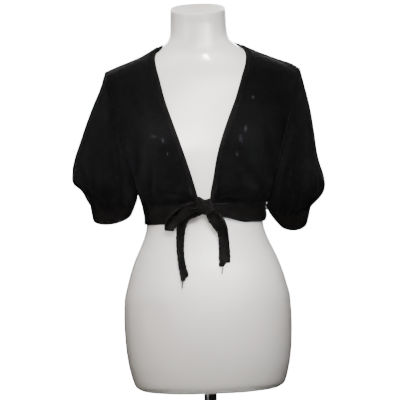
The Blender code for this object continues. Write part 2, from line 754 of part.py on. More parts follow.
def build_stand(steel, paint):
    """Base plate with a hub, and the pole that carries the form."""
    edge = 0.0015
    turned(
        "base",
        (
            (0.0, BASE_THICKNESS + 0.006),
            (POLE_RADIUS + 0.006, BASE_THICKNESS + 0.006),
            (POLE_RADIUS + 0.008, BASE_THICKNESS + 0.004),
            (POLE_RADIUS + 0.008, BASE_THICKNESS),
            (BASE_RADIUS - edge, BASE_THICKNESS),
            (BASE_RADIUS, BASE_THICKNESS - edge),
            (BASE_RADIUS, edge),
            (BASE_RADIUS - edge, 0.0),
            (0.0, 0.0),
        ),
        48,
        paint,
    )
    foot = BASE_THICKNESS + 0.006 + SEAM_GAP
    top = FORM_FLOOR + SOCKET_DEPTH
    turned(
        "pole",
        ((0.0, top), (POLE_RADIUS, top), (POLE_RADIUS, foot), (0.0, foot)),
        32,
        steel,
    )


# ---- the garment --------------------------------------------------------------------


def top_edge(side):
    """Shoulder seam from the armhole to the neck band."""
    tip = armhole_point(side, 0.0)
    neck = neck_back_point(0.0, NECK_BAND_WIDTH) * (side, 1, 1)
    outer, inner = abs(tip[0]), abs(neck[0])
    points = [
        shoulder_point(side, outer + (inner - outer) * j / FRONT_COLUMNS)
        for j in range(FRONT_COLUMNS + 1)
    ]
    points[0], points[-1] = tip, neck
    return points


def front_grid(side):
    """A front panel: columns run from the armhole to the neck band's seam."""
    left = panel_side(side, -1)
    top = np.array(top_edge(side))
    bottom = np.array(
        [hem_point(side, j / FRONT_COLUMNS, BAND_TOP) for j in range(FRONT_COLUMNS + 1)]
    )
    bottom[0] = left[-1]
    heights = [neck_row_height(share) for share in row_shares()]
    right = [neck_front_point(side, z, NECK_BAND_WIDTH) for z in heights]
    right[0], right[-1] = top[-1], bottom[-1]
    return drape(patch(left, np.array(right), top, bottom), -1)


def back_grid():
    """The back panel: columns run from the wearer's right to the left."""
    neck = []
    for k in range(1, BACK_NECK_COLUMNS):
        angle = math.pi * k / BACK_NECK_COLUMNS
        point = neck_back_point(min(angle, math.pi - angle), NECK_BAND_WIDTH)
        neck.append(point * (1 if angle > math.pi / 2 else -1, 1, 1))
    top = np.array(top_edge(RIGHT) + neck + top_edge(LEFT)[::-1])
    columns = len(top)
    bottom = np.array(
        [
            form_point(math.pi * (1 + j / (columns - 1)), BAND_TOP, EASE + KNIT)
            for j in range(columns)
        ]
    )
    sides = [panel_side(side, 1) for side in (RIGHT, LEFT)]
    bottom[0], bottom[-1] = sides[0][-1], sides[1][-1]
    return drape(patch(*sides, top, bottom), 1)


def neck_grid(right, left, back):
    """The neck band, from the right front up, round the neck and down the left front."""
    free, seam = [], []
    heights = [neck_row_height(share) for share in row_shares()]
    for side, grid in ((RIGHT, right), (LEFT, left)):
        edge = [neck_front_point(side, z, 0.0) for z in heights]
        edge[0] = neck_back_point(0.0, 0.0) * (side, 1, 1)
        free.append(edge)
        seam.append(list(grid[:, -1]))
    behind = []
    for k in range(1, BACK_NECK_COLUMNS):
        angle = math.pi * k / BACK_NECK_COLUMNS
        point = neck_back_point(min(angle, math.pi - angle), 0.0)
        behind.append(point * (1 if angle > math.pi / 2 else -1, 1, 1))
    under = list(back[0, FRONT_COLUMNS + 1 : -FRONT_COLUMNS - 1])
    free = np.array(free[0][::-1] + behind + free[1])
    seam = np.array(seam[0][::-1] + under + seam[1])
    return np.stack((free, (free + seam) / 2, seam), axis=1)


def hem_grid(right, left, back):
    """The hem band, from the knot round the body and back to the knot."""
    share = [j / FRONT_COLUMNS for j in range(FRONT_COLUMNS + 1)]
    behind = back.shape[1]
    turns = [math.pi * (1 + j / (behind - 1)) for j in range(1, behind - 1)]
    rows = [np.array(list(right[-1, ::-1]) + list(back[-1, 1:-1]) + list(left[-1]))]
    for k in range(1, BAND_ROWS + 1):
        down = k / BAND_ROWS
        row = []
        for side, order in ((RIGHT, share[::-1]), (LEFT, share)):
            for s in order:
                z = BAND_TOP + (hem_height(s) - BAND_TOP) * down
                swell = BAND_SWELL * math.sin(math.pi * down) * ease(s / 0.5)
                row.append(hem_point(side, s, z, swell))
            if side == RIGHT:
                z = BAND_TOP + (HEM - BAND_TOP) * down
                row += [form_point(turn, z, EASE + KNIT) for turn in turns]
        rows.append(np.array(row))
    grid = np.stack(rows)
    return np.concatenate((knot_end(grid[:, 0], RIGHT), grid, knot_end(grid[:, -1], LEFT)), axis=1)


def knot_end(edge, side):
    """The end of the hem band, narrowed and drawn forward to the knot's side."""
    steps = []
    for k in range(1, 4):
        reach = k / 3
        x = edge[:, 0] + (KNOT_CENTRE[0] + side * KNOT_REACH - edge[:, 0]) * reach
        y = edge[:, 1] + (KNOT_CENTRE[1] - BAND / 2 - edge[:, 1]) * ease(reach)
        narrow = 1 - 0.6 * reach
        z = KNOT_CENTRE[2] + (edge[:, 2] - KNOT_CENTRE[2]) * narrow
        steps.append(np.stack((x, y, z), axis=1))
    if side == RIGHT:
        steps = steps[::-1]
    return np.stack(steps, axis=1)


def hem_height(share):
    """The hem rises a little where it is drawn up to the knot."""
    return HEM + KNOT_LIFT * ease((share - 0.6) / 0.4)


def sleeve_grid(side):
    """A sleeve: rows run down it, columns run round from its outer fold to the front."""
    table = SLEEVES[side]
    rows = []
    for i, row in enumerate(table):
        above = len(table) - 1 - i
        gather = GATHER_DEPTH * ease(above / 1.5) * ease(1 - (above - 1) / GATHER_ROWS)
        fold = ease(i / 3) * ease(above / 2)
        points = []
        for k in range(2 * HALF_RING + 1):
            angle = math.pi * k / HALF_RING
            clear = ease((1 + math.cos(angle)) / 0.8)
            wave = gather * clear * math.cos(CUFF_GATHERS * angle)
            point = ring_point(row, side, angle, wave)
            facing = FRONT_FOLDS if math.sin(angle) > 0 else BACK_FOLDS
            lift = folds(point[0], point[2], facing) * fold * abs(math.sin(angle)) ** 0.5
            point[1] -= math.copysign(lift, math.sin(angle))
            points.append(point)
        points[-1] = points[0]
        rows.append(points)
    grid = np.array(rows)
    for k in range(2 * HALF_RING + 1):
        grid[0, k] = armhole_point(side, math.pi * k / HALF_RING)
    return grid


def cuff_grid(side):
    """A cuff: its rings, from the sleeve's mouth down."""
    angles = [math.pi * k / HALF_RING for k in range(2 * HALF_RING + 1)]
    return np.array([[ring_point(row, side, angle) for angle in angles] for row in CUFFS[side]])


def part_at_armhole(grid, side):
    """Moves the underarm of a sleeve's first ring off the body's side."""
    for k in range(2 * HALF_RING + 1):
        low = ease((-math.cos(math.pi * k / HALF_RING) - 0.5) / 0.4)
        grid[0, k, 0] += side * UNDERARM_GAP * low


def build_knot(knit):
    """The knot: a rounded lump with the turn of a strip across it."""
    mesh = bpy.data.meshes.new("tie_knot")
    lump = bmesh.new()
    bmesh.ops.create_uvsphere(lump, u_segments=20, v_segments=12, radius=0.5)
    for vertex in lump.verts:
        x, y, z = vertex.co * 2
        groove = math.exp(-(((x * 0.9 - z * 0.35) / 0.28) ** 2))
        full = 1 + 0.07 * groove if y < 0 else 1.0
        vertex.co.x = KNOT_CENTRE[0] + x * full * KNOT_SIZE[0] / 2
        vertex.co.y = KNOT_CENTRE[1] + y * full * KNOT_SIZE[1] / 2
        vertex.co.z = KNOT_CENTRE[2] + z * full * KNOT_SIZE[2] / 2
    lump.to_mesh(mesh)
    lump.free()
    knot = bpy.data.objects.new("tie_knot", mesh)
    PART.objects.link(knot)
    mesh.materials.append(knit)
    mesh.shade_smooth()


def build_garment(tree, knit):
    """Works out every panel, matches them at their seams and gives them thickness."""
    fronts = {side: front_grid(side) for side in (RIGHT, LEFT)}
    back = back_grid()
    sleeves = {side: sleeve_grid(side) for side in (RIGHT, LEFT)}
    cuffs = {side: cuff_grid(side) for side in (RIGHT, LEFT)}
    neck = neck_grid(fronts[RIGHT], fronts[LEFT], back)
    laid = [*fronts.values(), *sleeves.values(), back, neck]
    keep_clear(laid, tree, BAND + REST_GAP)
    hem = hem_grid(fronts[RIGHT], fronts[LEFT], back)
    all_edges = ("top", "bottom", "first", "last")
    # name, outer face, which way its normals turn, thickness, edges at a seam, closed ring
    pieces = [("back", back, 1, KNIT, all_edges, False)]
    for side, word in ((RIGHT, "right"), (LEFT, "left")):
        pieces.append(("front_" + word, fronts[side], side, KNIT, all_edges, False))
        pieces.append(("sleeve_" + word, sleeves[side], side, KNIT, ("top", "bottom"), True))
        pieces.append(("cuff_" + word, cuffs[side], side, BAND, ("top",), True))
    pieces.append(("neck_band", neck, -1, BAND, ("last", "top", "bottom"), False))
    pieces.append(("hem_band", hem, 1, BAND, ("top",), False))
    normals = [way * normals_of(grid, closed) for _, grid, way, _, _, closed in pieces]
    match_normals([(piece[1], normal) for piece, normal in zip(pieces, normals)])
    for side in (RIGHT, LEFT):
        part_at_armhole(sleeves[side], side)
        pull_back(sleeves[side], ("top",), ARMHOLE_GAP)
    pull_back(neck, ("last",), SEAM_GAP)
    for (name, grid, _, thickness, edges, closed), normal in zip(pieces, normals):
        pull_back(grid, edges, SEAM_GAP)
        wall(name, grid, normal, thickness, knit, closed)
    build_knot(knit)
    strip("tie_tail_right", TIE_TAIL_RIGHT, knit, 24)
    strip("tie_tail_left", TIE_TAIL_LEFT, knit, 20)
    strip("tie_loop", TIE_LOOP, knit, 28)


# ---- assembly -----------------------------------------------------------------------

for old in list(bpy.data.objects):
    bpy.data.objects.remove(old)
PART = bpy.data.collections.new("wrap_cardigan_on_dress_form")
bpy.context.scene.collection.children.link(PART)
finishes = {name: material_named(name) for name in MATERIALS}
form = build_form(finishes["form_shell"])
build_stand(finishes["polished_steel"], finishes["painted_base"])
surface = bmesh.new()
surface.from_mesh(form.data)
build_garment(BVHTree.FromBMesh(surface), finishes["knit"])
surface.free()
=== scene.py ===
"""Cropped tie-front knitted cardigan on a limbless dress form, as it looks.

Metres, +Z up.  The front faces -Y and +X is the wearer's left.
"""

import math

import bmesh
import bpy
import numpy as np
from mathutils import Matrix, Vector
from mathutils.bvhtree import BVHTree


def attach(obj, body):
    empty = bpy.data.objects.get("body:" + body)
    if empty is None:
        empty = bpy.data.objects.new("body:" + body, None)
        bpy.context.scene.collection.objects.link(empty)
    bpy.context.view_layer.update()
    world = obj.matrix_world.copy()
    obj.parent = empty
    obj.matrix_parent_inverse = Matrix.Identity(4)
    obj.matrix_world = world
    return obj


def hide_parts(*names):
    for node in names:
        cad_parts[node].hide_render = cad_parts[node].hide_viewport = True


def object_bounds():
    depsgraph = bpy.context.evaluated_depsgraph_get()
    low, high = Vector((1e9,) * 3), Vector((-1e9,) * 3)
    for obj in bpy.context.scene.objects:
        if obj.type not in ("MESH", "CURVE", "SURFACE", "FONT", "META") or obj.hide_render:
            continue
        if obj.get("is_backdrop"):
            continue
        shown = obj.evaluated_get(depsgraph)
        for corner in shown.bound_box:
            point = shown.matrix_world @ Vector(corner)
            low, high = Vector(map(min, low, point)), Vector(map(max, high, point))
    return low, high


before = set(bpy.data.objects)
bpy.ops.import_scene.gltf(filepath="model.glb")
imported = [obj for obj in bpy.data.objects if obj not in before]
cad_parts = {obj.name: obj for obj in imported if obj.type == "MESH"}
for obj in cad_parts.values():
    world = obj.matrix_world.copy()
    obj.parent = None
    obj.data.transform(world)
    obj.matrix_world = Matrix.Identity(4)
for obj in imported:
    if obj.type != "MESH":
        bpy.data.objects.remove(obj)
cad_low, cad_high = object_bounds()

# ---- studio: paper, softboxes and camera ----
# White paper lies under the stand.  Large softboxes light it from in front, above and
# behind, grids lift parts of it, small lamps show only as reflections.


def add_object(name, data):
    """An object linked to the scene."""
    made = bpy.data.objects.new(name, data)
    bpy.context.scene.collection.objects.link(made)
    return made


def new_object(name, vertices, faces, material, corner_uvs=None):
    """A smooth mesh object, with a UV in metres for each face corner."""
    mesh = bpy.data.meshes.new(name)
    mesh.from_pydata([tuple(v) for v in vertices], [], faces)
    if corner_uvs is not None:
        layer = mesh.uv_layers.new(name="UVMap")
        layer.data.foreach_set("uv", np.asarray(corner_uvs, "f").ravel())
    mesh.materials.append(material)
    mesh.shade_smooth()
    mesh.set_sharp_from_angle(angle=math.radians(60))
    return add_object(name, mesh)


def add_node(tree, kind, sockets=(), **settings):
    """A shader or geometry node, with its inputs set or linked."""
    made = tree.nodes.new(kind)
    for key, value in settings.items():
        setattr(made, key, value)
    for key, value in dict(sockets).items():
        if isinstance(value, bpy.types.NodeSocket):
            tree.links.new(value, made.inputs[key])
        else:
            made.inputs[key].default_value = value
    return made


def result(tree, kind, sockets=(), output=0, **settings):
    """What a new node gives."""
    return add_node(tree, kind, sockets, **settings).outputs[output]


def new_material(name, sockets):
    """A material, its node tree and its shader with constant sockets set."""
    made = bpy.data.materials.new(name)
    made.use_nodes = True
    shader = made.node_tree.nodes["Principled BSDF"]
    for key, value in sockets.items():
        shader.inputs[key].default_value = value
    return made, made.node_tree, shader


def noise(tree, vector, scale, detail=3.0, roughness=0.5):
    """Value of a noise texture."""
    sockets = {"Vector": vector, "Scale": scale, "Detail": detail, "Roughness": roughness}
    return result(tree, "ShaderNodeTexNoise", sockets)


def ramp(tree, value, low, high, out_low, out_high):
    """A number mapped from one range to another, held at both ends."""
    sockets = {0: value, 1: low, 2: high, 3: out_low, 4: out_high}
    return result(tree, "ShaderNodeMapRange", sockets, clamp=True)


def mix(tree, factor, first, second):
    """Two colours mixed by a factor."""
    made = add_node(tree, "ShaderNodeMix", {"Factor": factor}, data_type="RGBA")
    for index, colour in ((6, first), (7, second)):
        if isinstance(colour, bpy.types.NodeSocket):
            tree.links.new(colour, made.inputs[index])
        else:
            made.inputs[index].default_value = (*colour, 1.0)
    return made.outputs[2]


def bump(tree, shader, height, distance, strength=1.0):
    """Fine relief on a shader's normal."""
    sockets = {"Height": height, "Distance": distance, "Strength": strength}
    tree.links.new(result(tree, "ShaderNodeBump", sockets), shader.inputs["Normal"])


def object_place(tree):
    """Place on the object, in metres."""
    return result(tree, "ShaderNodeTexCoord", output="Object")


FLOOR_RADIUS, GLOW_FROM = 1.02, 0.80
paper_material, tree, shader = new_material(
    "studio_floor", {"Roughness": 0.85, "Specular IOR Level": 0.2, "Emission Color": (1, 1, 1, 1)}
)
place = object_place(tree)
from_middle = result(tree, "ShaderNodeVectorMath", {0: place}, "Value", operation="LENGTH")
glow = ramp(tree, from_middle, GLOW_FROM * 0.7, FLOOR_RADIUS, 0.0, 6.0)
tree.links.new(glow, shader.inputs["Emission Strength"])
colour = mix(tree, noise(tree, place, 900.0), (0.88, 0.88, 0.88), (0.91, 0.91, 0.91))
tree.links.new(colour, shader.inputs["Base Color"])
turns = np.linspace(0.0, 2 * math.pi, 97)[:-1]
for name, inner, outer in (("floor_paper", 0.0, GLOW_FROM), ("floor_rim", GLOW_FROM, FLOOR_RADIUS)):
    vertices = [(r * math.cos(a), r * math.sin(a), 0.0) for r in (inner, outer) for a in turns]
    faces = [(k, (k + 1) % 96, 96 + (k + 1) % 96, 96 + k)[::-1] for k in range(96)]
    if inner == 0.0:
        faces = [tuple(range(96, 192))]
    paper = new_object(name, vertices, faces, paper_material)
    paper.visible_diffuse = paper.visible_glossy = False
    paper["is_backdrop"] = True

SOFTBOXES = (
    # name, place, aim, width, height, watts, spread in degrees, warmth
    ("key", (0.36, -2.4, 2.0), (0.0, 0.0, 0.65), 0.9, 0.8, 87.0, 180, 0.015),
    ("left", (-1.8, -2.6, 1.6), (0.0, 0.0, 0.65), 1.0, 1.2, 48.0, 180, 0.07),
    ("top", (0.0, -0.6, 2.6), (0.0, 0.0, 0.60), 1.0, 1.0, 52.0, 180, 0.02),
    ("grid_waist", (0.15, -2.5, 1.6), (0.02, -0.1, 0.40), 0.15, 0.15, 0.15, 6.0, 0.0),
    ("grid_chest", (0.0, -2.4, 1.5), (0.0, -0.1, 0.66), 0.12, 0.12, 0.09, 6.0, 0.0),
    ("grid_bust", (0.0, -2.4, 0.20), (0.0, -0.1, 0.65), 0.22, 0.22, 0.19, 6.9, 0.0),
    ("grid_right", (-1.1, -2.2, 0.20), (-0.20, -0.02, 0.60), 0.22, 0.22, 0.34, 9.0, 0.0),
    ("grid_left", (1.1, -2.2, 0.20), (0.19, -0.02, 0.60), 0.22, 0.22, 0.24, 9.0, 0.0),
    ("back_left", (-0.9, 3.0, 1.9), (0.0, 0.0, 0.60), 1.4, 1.2, 110.0, 180, 0.0),
    ("back_right", (0.9, 3.0, 1.9), (0.0, 0.0, 0.60), 1.4, 1.2, 120.0, 180, 0.0),
    ("lamp", (0.073, -0.782, 1.905), (0.01, -0.06, 0.825), 0.05, 0.03, 8.0, 180, 0.0),
    ("strip", (1.133, -2.52, 1.508), (-0.023, -0.12, 0.652), 0.06, 0.50, 1.00, 7.0, 0.0),
    ("low_left", (-0.9, -0.75, 0.07), (0.0, 0.0, 0.12), 1.0, 0.12, 0.30, 180, 0.0),
)
GLINTS = ("lamp", "strip", "low_left")  # these only show as reflections
AIR, BACKDROP = 0.01, 17.0  # what lights the pieces, what the camera sees behind them
for name, place, aim, width, height, watts, spread, warmth in SOFTBOXES:
    light = bpy.data.lights.new(name, "AREA")
    light.shape, light.size, light.size_y, light.energy = "RECTANGLE", width, height, watts
    light.spread, light.color = math.radians(spread), (1.0, 1.0 - warmth, 1.0 - 2 * warmth)
    box = add_object(name, light)
    box.location = place
    box.visible_glossy, box.visible_diffuse = spread == 180 or name in GLINTS, name not in GLINTS
    box.rotation_euler = (Vector(aim) - Vector(place)).to_track_quat("-Z", "Y").to_euler()
world = bpy.data.worlds.new("studio_air")
world.use_nodes = True
tree = world.node_tree
seen = result(tree, "ShaderNodeLightPath", output="Is Camera Ray")
white = result(tree, "ShaderNodeBackground", {"Color": (1, 1, 1, 1), "Strength": BACKDROP})
air = tree.nodes["Background"]
air.inputs["Color"].default_value, air.inputs["Strength"].default_value = (1, 1, 1, 1), AIR
either = result(tree, "ShaderNodeMixShader", {0: seen, 1: air.outputs[0], 2: white})
tree.links.new(either, tree.nodes["World Output"].inputs["Surface"])
bpy.context.scene.world = world

lens = bpy.data.cameras.new("camera")
lens.lens, lens.sensor_width = 135.0, 36.0
camera = add_object("camera", lens)
camera.location = (-0.00806, -3.0, 0.5443)
camera.rotation_euler = (math.radians(90.0), math.radians(1.91), 0.0)
bpy.context.scene.camera = camera

# ---- base plate ----
# A heavy round steel plate, turned and coated in satin off-white paint, with a short
# hub that holds the pole.  Its underside rests on the floor.

POLE_RADIUS, BASE_RADIUS, BASE_THICKNESS, HUB_HEIGHT = 0.013, 0.145, 0.010, 0.006


def plain_mesh(thing, name):
    """What an object's modifiers or curve make, as a plain mesh."""
    ready = thing.evaluated_get(bpy.context.evaluated_depsgraph_get())
    made = bpy.data.meshes.new_from_object(ready)
    made.name = name
    return made


def turned(name, profile, segments, material):
    """A turned piece from (radius, height) pairs, top to bottom, with soft edges."""
    mesh = bpy.data.meshes.new(name)
    points = [(radius, 0.0, height) for radius, height in profile]
    mesh.from_pydata(points, [(k, k + 1) for k in range(len(points) - 1)], [])
    mesh.materials.append(material)
    thing = add_object(name, mesh)
    screw = thing.modifiers.new("turn", "SCREW")
    screw.steps = screw.render_steps = segments
    screw.use_merge_vertices, screw.merge_threshold = True, 0.00001
    made = plain_mesh(thing, name)
    thing.modifiers.clear()
    thing.data = made
    made.shade_smooth()
    made.set_sharp_from_angle(angle=math.radians(35))
    return thing


base_paint, tree, shader = new_material("base_paint", {"Roughness": 0.42, "Coat Weight": 0.15})
place = object_place(tree)
worn = ramp(tree, noise(tree, place, 38.0, 6.0), 0.45, 0.75, 0.0, 1.0)
colour = mix(tree, worn, (0.80, 0.795, 0.78), (0.74, 0.73, 0.715))
tree.links.new(colour, shader.inputs["Base Color"])
bump(tree, shader, noise(tree, place, 1400.0, 2.0), 0.00006)
edge, hub = 0.0015, POLE_RADIUS + 0.008
rim = [
    (BASE_RADIUS - edge + edge * math.sin(a), middle + edge * math.cos(a))
    for start, middle in ((0.0, BASE_THICKNESS - edge), (math.pi / 2, edge))
    for a in np.linspace(start, start + math.pi / 2, 6)
]
top = BASE_THICKNESS + HUB_HEIGHT
base = turned(
    "base_plate",
    [(0.0, top), (hub - 0.002, top), (hub - 0.0012, top - 0.0003), (hub - 0.0003, top - 0.0012)]
    + [(hub, top - 0.002), (hub, BASE_THICKNESS + 0.0006), (hub + 0.0006, BASE_THICKNESS)]
    + rim + [(0.0, 0.0)],
    160,
    base_paint,
)
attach(base, "root")
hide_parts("base")

# ---- pole ----
# A chromed steel tube that runs from the hub into a socket under the form.

pole_steel, tree, shader = new_material("pole_steel", {"Metallic": 1.0})
stretched = {"Vector": object_place(tree), "Scale": (1.0, 1.0, 0.03)}
stretched = result(tree, "ShaderNodeMapping", stretched)
streaks = noise(tree, stretched, 700.0, 4.0)
colour = mix(tree, streaks, (0.60, 0.60, 0.61), (0.68, 0.68, 0.69))
tree.links.new(colour, shader.inputs["Base Color"])
tree.links.new(ramp(tree, streaks, 0.3, 0.7, 0.07, 0.16), shader.inputs["Roughness"])
foot, head = BASE_THICKNESS + HUB_HEIGHT + 0.0003, 0.210
pole = turned(
    "pole_tube",
    [(0.0, head), (POLE_RADIUS - 0.001, head), (POLE_RADIUS, head - 0.001)]
    + [(POLE_RADIUS, foot + 0.0005), (POLE_RADIUS - 0.0005, foot), (0.0, foot)],
    96,
    pole_steel,
)
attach(pole, "root")
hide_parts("pole")

# ---- dress form ----
# A moulded shell of glossy off-white plastic, limbless, with a flat cap that leans
# forward on the neck and a flat underside with the pole's socket.

FORM_FLOOR = 0.160


def metres(*rows):
    """Rows of millimetres, in metres."""
    return tuple(tuple(value / 1000 for value in row) for row in rows)


FORM_SECTIONS = metres(
    # height, half width, depth in front, depth behind
    (160, 88, 62, 66), (164, 124, 87, 92), (168, 138, 97, 101), (176, 149, 103, 107),
    (200, 157, 108.5, 112), (224, 162, 112, 116), (260, 166, 115.5, 120),
    (300, 167.5, 118, 122), (344, 166, 119, 121), (380, 158, 116.5, 116),
    (404, 151, 112.5, 110), (428, 142, 106, 103), (452, 131, 97.5, 96), (476, 121, 90, 90),
    (492, 117, 86.5, 87), (510, 116, 85.5, 85), (530, 119, 86, 84), (560, 126.5, 88.8, 86),
    (604, 138, 99.2, 91), (644, 146, 102, 96), (680, 152, 97, 100), (710, 163, 93, 102),
    (735, 176, 89, 101), (760, 187, 84, 99), (784, 192, 78, 96), (794, 189, 74.8, 93),
    (803, 178, 71.4, 89), (812, 160, 67.6, 85), (820.5, 140, 63.8, 82), (829.5, 115, 59.6, 78),
    (836.5, 100, 56.6, 76), (844, 86.5, 54.4, 74), (853.5, 73, 53, 71), (864, 62.5, 52, 67),
    (875, 58, 51, 63), (895, 56.2, 50, 59), (926, 55.5, 51, 58),
)
SECTION_POWER = 2.3
BUST_X, BUST_Z, BUST_SPREAD, BUST_RISE = 0.080, 0.648, 0.046, 0.034
CAP_TILT, CAP_TILT_FROM, CAP_EDGE = math.radians(17.0), 0.880, 0.0022
FRONT_LIFT = 0.0058  # its lower edge is cut a little higher in front
FORM_AROUND, FORM_UP = 160, 190


def smooth_through(keys, values, at):
    """Values at `at` on a cubic that passes each key and never overshoots."""
    keys, values = np.asarray(keys, float), np.asarray(values, float)
    if keys[0] > keys[-1]:
        keys, values = keys[::-1], values[::-1]
    steps = np.diff(keys)
    slopes = np.diff(values) / steps
    product, total = slopes[:-1] * slopes[1:], slopes[:-1] + slopes[1:]
    inner = np.where(product > 0, 2 * product / np.where(total == 0, 1, total), 0.0)
    tangents = np.concatenate((slopes[:1], inner, slopes[-1:]))
    at = np.clip(at, keys[0], keys[-1])
    i = np.clip(np.searchsorted(keys, at, side="right") - 1, 0, len(steps) - 1)
    t = (at - keys[i]) / steps[i]
    return (
        values[i] * (1 + 2 * t) * (1 - t) ** 2
        + steps[i] * tangents[i] * t * (1 - t) ** 2
        + values[i + 1] * t * t * (3 - 2 * t)
        + steps[i] * tangents[i + 1] * t * t * (t - 1)
    )


def column(table, index):
    """One column of a table of rows."""
    return [row[index] for row in table]


def ease(t):
    """0 to 1 with a soft start and end."""
    t = np.clip(t, 0.0, 1.0)
    return t * t * (3 - 2 * t)


def unit(vectors):
    """Vectors brought to length 1."""
    return vectors / np.maximum(np.linalg.norm(vectors, axis=-1, keepdims=True), 1e-12)


def form_section(z):
    """Half width, front depth and back depth of the form at a height."""
    heights = column(FORM_SECTIONS, 0)
    return tuple(smooth_through(heights, column(FORM_SECTIONS, k), z) for k in (1, 2, 3))


def bust(x, z, half_width):
    """Forward rise of the two rounded halves of the chest."""
    rise = 0.0
    for middle in (-BUST_X, BUST_X):
        away = ((x - middle) ** 2 + (z - BUST_Z) ** 2) / (2 * BUST_SPREAD**2)
        rise = rise + BUST_RISE * np.exp(-away)
    return rise * np.maximum(1 - (np.abs(x) / half_width) ** 4, 0.0)


def form_point(angle, z, out=0.0):
    """Points on the form: angle 0 is the wearer's left side, 90 degrees the front."""
    angle, z = np.broadcast_arrays(np.asarray(angle, float), np.asarray(z, float))
    half_width, front, back = form_section(z)
    power = 2 / SECTION_POWER
    across, along = np.cos(angle), np.sin(angle)
    depth = np.where(along > 0, front, back)
    x = half_width * np.copysign(np.abs(across) ** power, across)
    y = -depth * np.copysign(np.abs(along) ** power, along)
    y = y - bust(x, z, half_width) * np.clip(along * 2, 0.0, 1.0)
    outward = unit(np.stack((across / half_width, -along / depth), axis=-1))
    return np.stack((x + outward[..., 0] * out, y + outward[..., 1] * out, z), axis=-1)


def ring_faces(rows, columns, first=0):
    """Quads between rows of vertices that close into rings, each row above the last."""
    made = []
    for i in range(rows - 1):
        for k in range(columns):
            a, b = first + i * columns + k, first + i * columns + (k + 1) % columns
            made.append((a, b, b + columns, a + columns))
    return made


form_shell, tree, shader = new_material(
    "form_shell",
    {"Roughness": 0.36, "IOR": 1.46, "Specular IOR Level": 0.42, "Coat Weight": 0.30,
     "Coat Roughness": 0.11},
)
place = object_place(tree)
cloud = ramp(tree, noise(tree, place, 7.0, 4.0), 0.3, 0.7, 0.0, 1.0)
tone = mix(tree, cloud, (0.800, 0.778, 0.752), (0.765, 0.741, 0.716))
marks = ramp(tree, noise(tree, place, 120.0, 2.0, 0.3), 0.74, 0.80, 0.0, 0.10)
tree.links.new(mix(tree, marks, tone, (0.50, 0.47, 0.44)), shader.inputs["Base Color"])
bump(tree, shader, noise(tree, place, 55.0, 2.0), 0.00012, 0.6)

turns = 2 * math.pi * np.arange(FORM_AROUND) / FORM_AROUND
heights = np.concatenate(
    (FORM_FLOOR + 0.034 * np.linspace(0.0, 1.0, 24) ** 2.2, np.linspace(0.196, 0.926, FORM_UP))
)
rings = [
    np.stack(((POLE_RADIUS + 0.0003) * np.cos(turns), -(POLE_RADIUS + 0.0003) * np.sin(turns),
              np.full(FORM_AROUND, height)), axis=1)
    for height in (FORM_FLOOR + 0.0503, FORM_FLOOR)
]
for height in heights:
    ring = form_point(turns, height)
    lean = ease((height - CAP_TILT_FROM) / (FORM_SECTIONS[-1][0] - CAP_TILT_FROM))
    ring[:, 2] += lean * ring[:, 1] * math.tan(CAP_TILT)
    rings.append(ring)
for turn in np.linspace(0.0, math.pi / 2, 6)[1:]:
    ring = form_point(turns, FORM_SECTIONS[-1][0], -CAP_EDGE * (1 - math.cos(turn)))
    ring[:, 2] += ring[:, 1] * math.tan(CAP_TILT) + CAP_EDGE * 0.6 * math.sin(turn)
    rings.append(ring)
vertices = np.concatenate(rings)
vertices[: 3 * FORM_AROUND, 2] = np.repeat(
    (FORM_FLOOR + 0.0503, FORM_FLOOR, FORM_FLOOR), FORM_AROUND
)
shell = vertices[2 * FORM_AROUND :]
shell[:, 2] += (
    FRONT_LIFT * np.clip(-shell[:, 1] / 0.09, 0.0, 1.0) ** 1.3 * ease((0.24 - shell[:, 2]) / 0.08)
)
faces = ring_faces(len(rings), FORM_AROUND)
faces += [
    tuple(range(FORM_AROUND))[::-1],
    tuple(range(len(vertices) - FORM_AROUND, len(vertices))),
]
faces = [face[::-1] for face in faces]
form = new_object("form_torso", vertices, faces, form_shell)
fix = bmesh.new()
fix.from_mesh(form.data)
bmesh.ops.recalc_face_normals(fix, faces=fix.faces)
fix.to_mesh(form.data)
FORM_TREE = BVHTree.FromBMesh(fix)
fix.free()
form.data.set_sharp_from_angle(angle=math.radians(50))
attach(form, "root")
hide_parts("dress_form")

# ---- back panel ----
# A machine-knitted panel in soft black yarn from the shoulder seams and the neck down
# to the hem band.  It hangs from the shoulder blades and puffs out a little at the waist.

KNIT, BAND, SEAM_GAP, ARMHOLE_GAP = 0.0020, 0.0024, 0.0003, 0.0013
REST_GAP, EASE = 0.0007, 0.0026
BAND_TOP, HEM, NECK_BAND_WIDTH = 0.5345, 0.4983, 0.009
NECK_SHOULDER_HEIGHT, NECK_BACK_HEIGHT = 0.8560, 0.8700
SHOULDER_EASE = 0.0060
BLOUSE, BLOUSE_RISE = 0.0060, 0.022
RIGHT, LEFT = -1, 1  # the wearer's sides, as the sign of x
SIDES = ((RIGHT, "right"), (LEFT, "left"))
ARMHOLE_ROWS, SIDE_ROWS, PANEL_COLUMNS, NECK_COLUMNS = 80, 10, 48, 40
SHOULDER_LINE = metres(
    # distance from the middle, height: wearer's right, wearer's left
    (80, 854.8, 854.5), (95, 845.2, 846.6), (115, 834.2, 837.2), (140, 824, 826.8),
    (160, 816.8, 818.8), (183, 807.6, 810.4), (200, 799, 799),
)
RING_DEPTHS = metres(
    # of both sleeves: front depth, back depth, front drop
    (57, 62, 0), (60, 63, 0), (62, 64, 0), (63.5, 64.5, 0), (64, 64, 0), (65, 65, 1),
    (65, 65, 2), (64, 64, 3), (62, 62, 4), (59, 59, 6), (55, 56, 8), (51, 53, 9), (48, 50, 10),
    (46, 48, 11),
)
